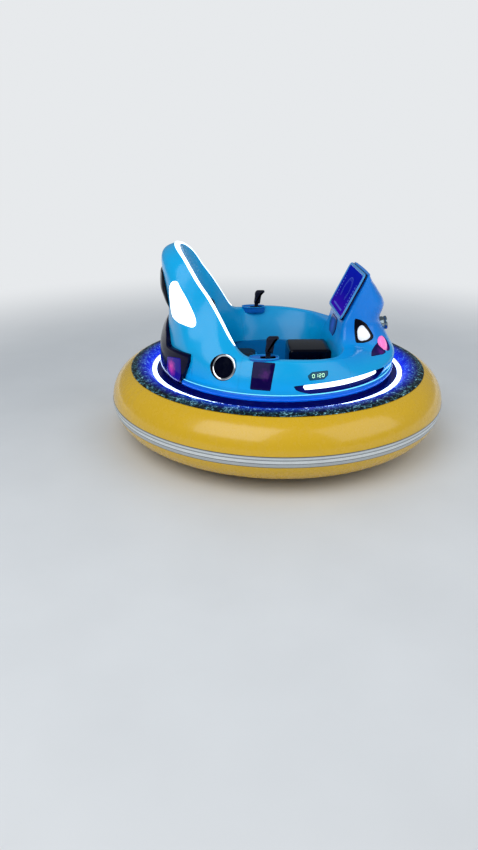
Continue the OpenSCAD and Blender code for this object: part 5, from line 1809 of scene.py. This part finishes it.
def make_world(strength):
    """Even light from all round, halved for mirrored rays, with a pale backdrop for the camera."""
    world = bpy.data.worlds.new("studio")
    world.use_nodes = True
    n = Nodes(world.node_tree)
    n.tree.nodes.clear()
    rays = n.add("ShaderNodeLightPath").outputs
    glossy = n.math("MULTIPLY_ADD", rays["Is Glossy Ray"], -0.5)
    glossy.node.inputs[2].default_value = 1.0
    light = n.add("ShaderNodeBackground", {"Color": rgb(0.60, 0.66, 0.72),
                                           "Strength": n.math("MULTIPLY", glossy, strength)})
    back = n.add("ShaderNodeBackground", {"Color": BACKDROP, "Strength": 1.0})
    both = n.add("ShaderNodeMixShader", {0: rays["Is Camera Ray"], 1: light.outputs[0], 2: back.outputs[0]})
    n.add("ShaderNodeOutputWorld", {"Surface": both.outputs[0]})
    bpy.context.scene.world = world


def make_stage():
    """Pale floor and backdrop, soft lamps, and the camera where the photograph was taken."""
    scene = bpy.context.scene
    settings = scene.car_stage
    make_floor()
    make_world(settings.world)
    for name, at, size, power in (("key", (-1.8, -2.6, 3.4), 3.4, settings.key),
                                  ("fill", (2.8, -2.0, 2.6), 3.2, settings.fill),
                                  ("rim", (0.6, 3.2, 3.0), 3.2, settings.rim)):
        lamp = bpy.data.lights.new(name, "AREA")
        lamp.size = size
        lamp.energy = power
        obj = aimed(name, lamp, at, Vector(at) - Vector(LAMP_AIM), "Z")
        obj.visible_glossy = name != "rim"
    camera = bpy.data.cameras.new("camera")
    camera.sensor_fit = "AUTO"
    camera.sensor_width = 36.0
    camera.lens = settings.lens
    scene.camera = aimed("camera", camera, CAMERA_AT, Vector(CAMERA_AIM), "-Z")
    scene.view_settings.view_transform = "Standard"


# Add-on: operators, panel and main

class CAR_OT_seat_shell(bpy.types.Operator):
    """Builds the high back of the body, with the beds of its lamps and speakers"""
    bl_idname = "car.seat_shell"
    bl_label = "Seat Shell"

    def execute(self, context):
        make_seat_shell()
        return {"FINISHED"}


class CAR_OT_sills(bpy.types.Operator):
    """Builds the low walls beside the rider"""
    bl_idname = "car.sills"
    bl_label = "Sills"

    def execute(self, context):
        make_sill("left")
        make_sill("right")
        return {"FINISHED"}


class CAR_OT_nose(bpy.types.Operator):
    """Builds the nose and the screen housing as one moulded skin"""
    bl_idname = "car.nose"
    bl_label = "Nose"

    def execute(self, context):
        make_nose()
        return {"FINISHED"}


class CAR_OT_ring(bpy.types.Operator):
    """Builds the inflated ring with its lap welds"""
    bl_idname = "car.ring"
    bl_label = "Inflated Ring"

    def execute(self, context):
        make_ring()
        return {"FINISHED"}


class CAR_OT_stripe(bpy.types.Operator):
    """Builds the reflective band round the ring"""
    bl_idname = "car.stripe"
    bl_label = "Reflective Band"

    def execute(self, context):
        make_stripe()
        return {"FINISHED"}


class CAR_OT_deck(bpy.types.Operator):
    """Builds the crinkled fabric stretched over the ring's top"""
    bl_idname = "car.deck"
    bl_label = "Deck Fabric"

    def execute(self, context):
        make_deck()
        return {"FINISHED"}


class CAR_OT_led_ring(bpy.types.Operator):
    """Builds the lit strip in the groove round the body"""
    bl_idname = "car.led_ring"
    bl_label = "Light Strip"

    def execute(self, context):
        make_led_ring()
        return {"FINISHED"}


class CAR_OT_belt(bpy.types.Operator):
    """Builds the bead round the body's foot and the painted highlight along its top"""
    bl_idname = "car.belt"
    bl_label = "Body Belt"

    def execute(self, context):
        make_belt()
        return {"FINISHED"}


class CAR_OT_rear(bpy.types.Operator):
    """Builds the rear moulding and the cover on the back"""
    bl_idname = "car.rear"
    bl_label = "Rear Mouldings"

    def execute(self, context):
        make_rear()
        return {"FINISHED"}


class CAR_OT_lamps(bpy.types.Operator):
    """Builds the lamps, panels, mouths and displays on the walls"""
    bl_idname = "car.lamps"
    bl_label = "Lamps and Panels"

    def execute(self, context):
        make_lamps()
        return {"FINISHED"}


class CAR_OT_arch(bpy.types.Operator):
    """Builds the lit strip along the seat shell's front edge"""
    bl_idname = "car.arch"
    bl_label = "Arch Light"

    def execute(self, context):
        make_arch()
        return {"FINISHED"}


class CAR_OT_light_bars(bpy.types.Operator):
    """Builds the light bars in the recesses of the sills and nose"""
    bl_idname = "car.light_bars"
    bl_label = "Light Bars"

    def execute(self, context):
        make_light_bars()
        return {"FINISHED"}


class CAR_OT_pods(bpy.types.Operator):
    """Builds the trays that the steering levers stand in"""
    bl_idname = "car.pods"
    bl_label = "Lever Pods"

    def execute(self, context):
        make_pods()
        return {"FINISHED"}


class CAR_OT_levers(bpy.types.Operator):
    """Builds both steering levers at their pins"""
    bl_idname = "car.levers"
    bl_label = "Steering Levers"

    def execute(self, context):
        make_lever("left")
        make_lever("right")
        return {"FINISHED"}


class CAR_OT_speakers(bpy.types.Operator):
    """Builds the speakers' rims and cones"""
    bl_idname = "car.speakers"
    bl_label = "Speakers"

    def execute(self, context):
        make_speakers()
        return {"FINISHED"}


class CAR_OT_nose_lamp(bpy.types.Operator):
    """Builds the round lamp on the nose"""
    bl_idname = "car.nose_lamp"
    bl_label = "Nose Lamp"

    def execute(self, context):
        make_nose_lamp()
        return {"FINISHED"}


class CAR_OT_screen(bpy.types.Operator):
    """Builds the rider's screen and its lit display"""
    bl_idname = "car.screen"
    bl_label = "Screen"

    def execute(self, context):
        make_screen()
        return {"FINISHED"}


class CAR_OT_figures(bpy.types.Operator):
    """Builds the lit figures on both number displays"""
    bl_idname = "car.figures"
    bl_label = "Display Figures"

    def execute(self, context):
        make_figures()
        return {"FINISHED"}


class CAR_OT_knee_box(bpy.types.Operator):
    """Builds the black box between the rider's knees"""
    bl_idname = "car.knee_box"
    bl_label = "Knee Box"

    def execute(self, context):
        make_knee_box()
        return {"FINISHED"}


class CAR_OT_cushions(bpy.types.Operator):
    """Builds the seat and back cushions"""
    bl_idname = "car.cushions"
    bl_label = "Cushions"

    def execute(self, context):
        make_cushions()
        return {"FINISHED"}


class CAR_OT_tyres(bpy.types.Operator):
    """Builds the treaded drive tyres"""
    bl_idname = "car.tyres"
    bl_label = "Drive Tyres"

    def execute(self, context):
        make_tyres()
        return {"FINISHED"}


class CAR_OT_bolts(bpy.types.Operator):
    """Builds the bolt heads and wheel nuts"""
    bl_idname = "car.bolts"
    bl_label = "Bolts"

    def execute(self, context):
        make_bolts()
        return {"FINISHED"}


class CAR_OT_carried_nodes(bpy.types.Operator):
    """Gives each carried-over solid of the frame its finish"""
    bl_idname = "car.carried_nodes"
    bl_label = "Carried Solids"

    def execute(self, context):
        dress_nodes()
        return {"FINISHED"}


class CAR_OT_stage(bpy.types.Operator):
    """Sets the floor, the light and the camera"""
    bl_idname = "car.stage"
    bl_label = "Stage"

    def execute(self, context):
        make_stage()
        return {"FINISHED"}


OPERATORS = (
    CAR_OT_seat_shell, CAR_OT_sills, CAR_OT_nose, CAR_OT_ring, CAR_OT_stripe, CAR_OT_deck,
    CAR_OT_led_ring, CAR_OT_belt, CAR_OT_rear, CAR_OT_lamps, CAR_OT_arch, CAR_OT_light_bars, CAR_OT_pods,
    CAR_OT_levers, CAR_OT_speakers, CAR_OT_nose_lamp, CAR_OT_screen, CAR_OT_figures, CAR_OT_knee_box,
    CAR_OT_cushions, CAR_OT_tyres, CAR_OT_bolts, CAR_OT_carried_nodes, CAR_OT_stage,
)


class CAR_PT_sidebar(bpy.types.Panel):
    """The car's settings, and an operator for each of its pieces"""
    bl_idname = "CAR_PT_sidebar"
    bl_label = "Ring Bumper Car"
    bl_space_type = "VIEW_3D"
    bl_region_type = "UI"
    bl_category = "Bumper Car"

    def draw(self, context):
        for settings in (context.scene.car_sizes, context.scene.car_colours, context.scene.car_stage):
            box = self.layout.box()
            for key in type(settings).__annotations__:
                box.prop(settings, key)
        for operator in OPERATORS:
            self.layout.operator(operator.bl_idname)


def register():
    """Registers every class and hangs the settings on the scene."""
    for cls in (CarSizes, CarColours, CarStage, *OPERATORS, CAR_PT_sidebar):
        bpy.utils.register_class(cls)
    bpy.types.Scene.car_sizes = bpy.props.PointerProperty(type=CarSizes)
    bpy.types.Scene.car_colours = bpy.props.PointerProperty(type=CarColours)
    bpy.types.Scene.car_stage = bpy.props.PointerProperty(type=CarStage)


def unregister():
    """Takes the settings and the classes away again."""
    del bpy.types.Scene.car_stage, bpy.types.Scene.car_colours, bpy.types.Scene.car_sizes
    for cls in (CAR_PT_sidebar, *reversed(OPERATORS), CarStage, CarColours, CarSizes):
        bpy.utils.unregister_class(cls)


def main():
    """Builds the car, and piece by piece."""
    register()
    for operator in OPERATORS:
        area, name = operator.bl_idname.split(".")
        getattr(getattr(bpy.ops, area), name)()


if __name__ == "__main__":
    main()
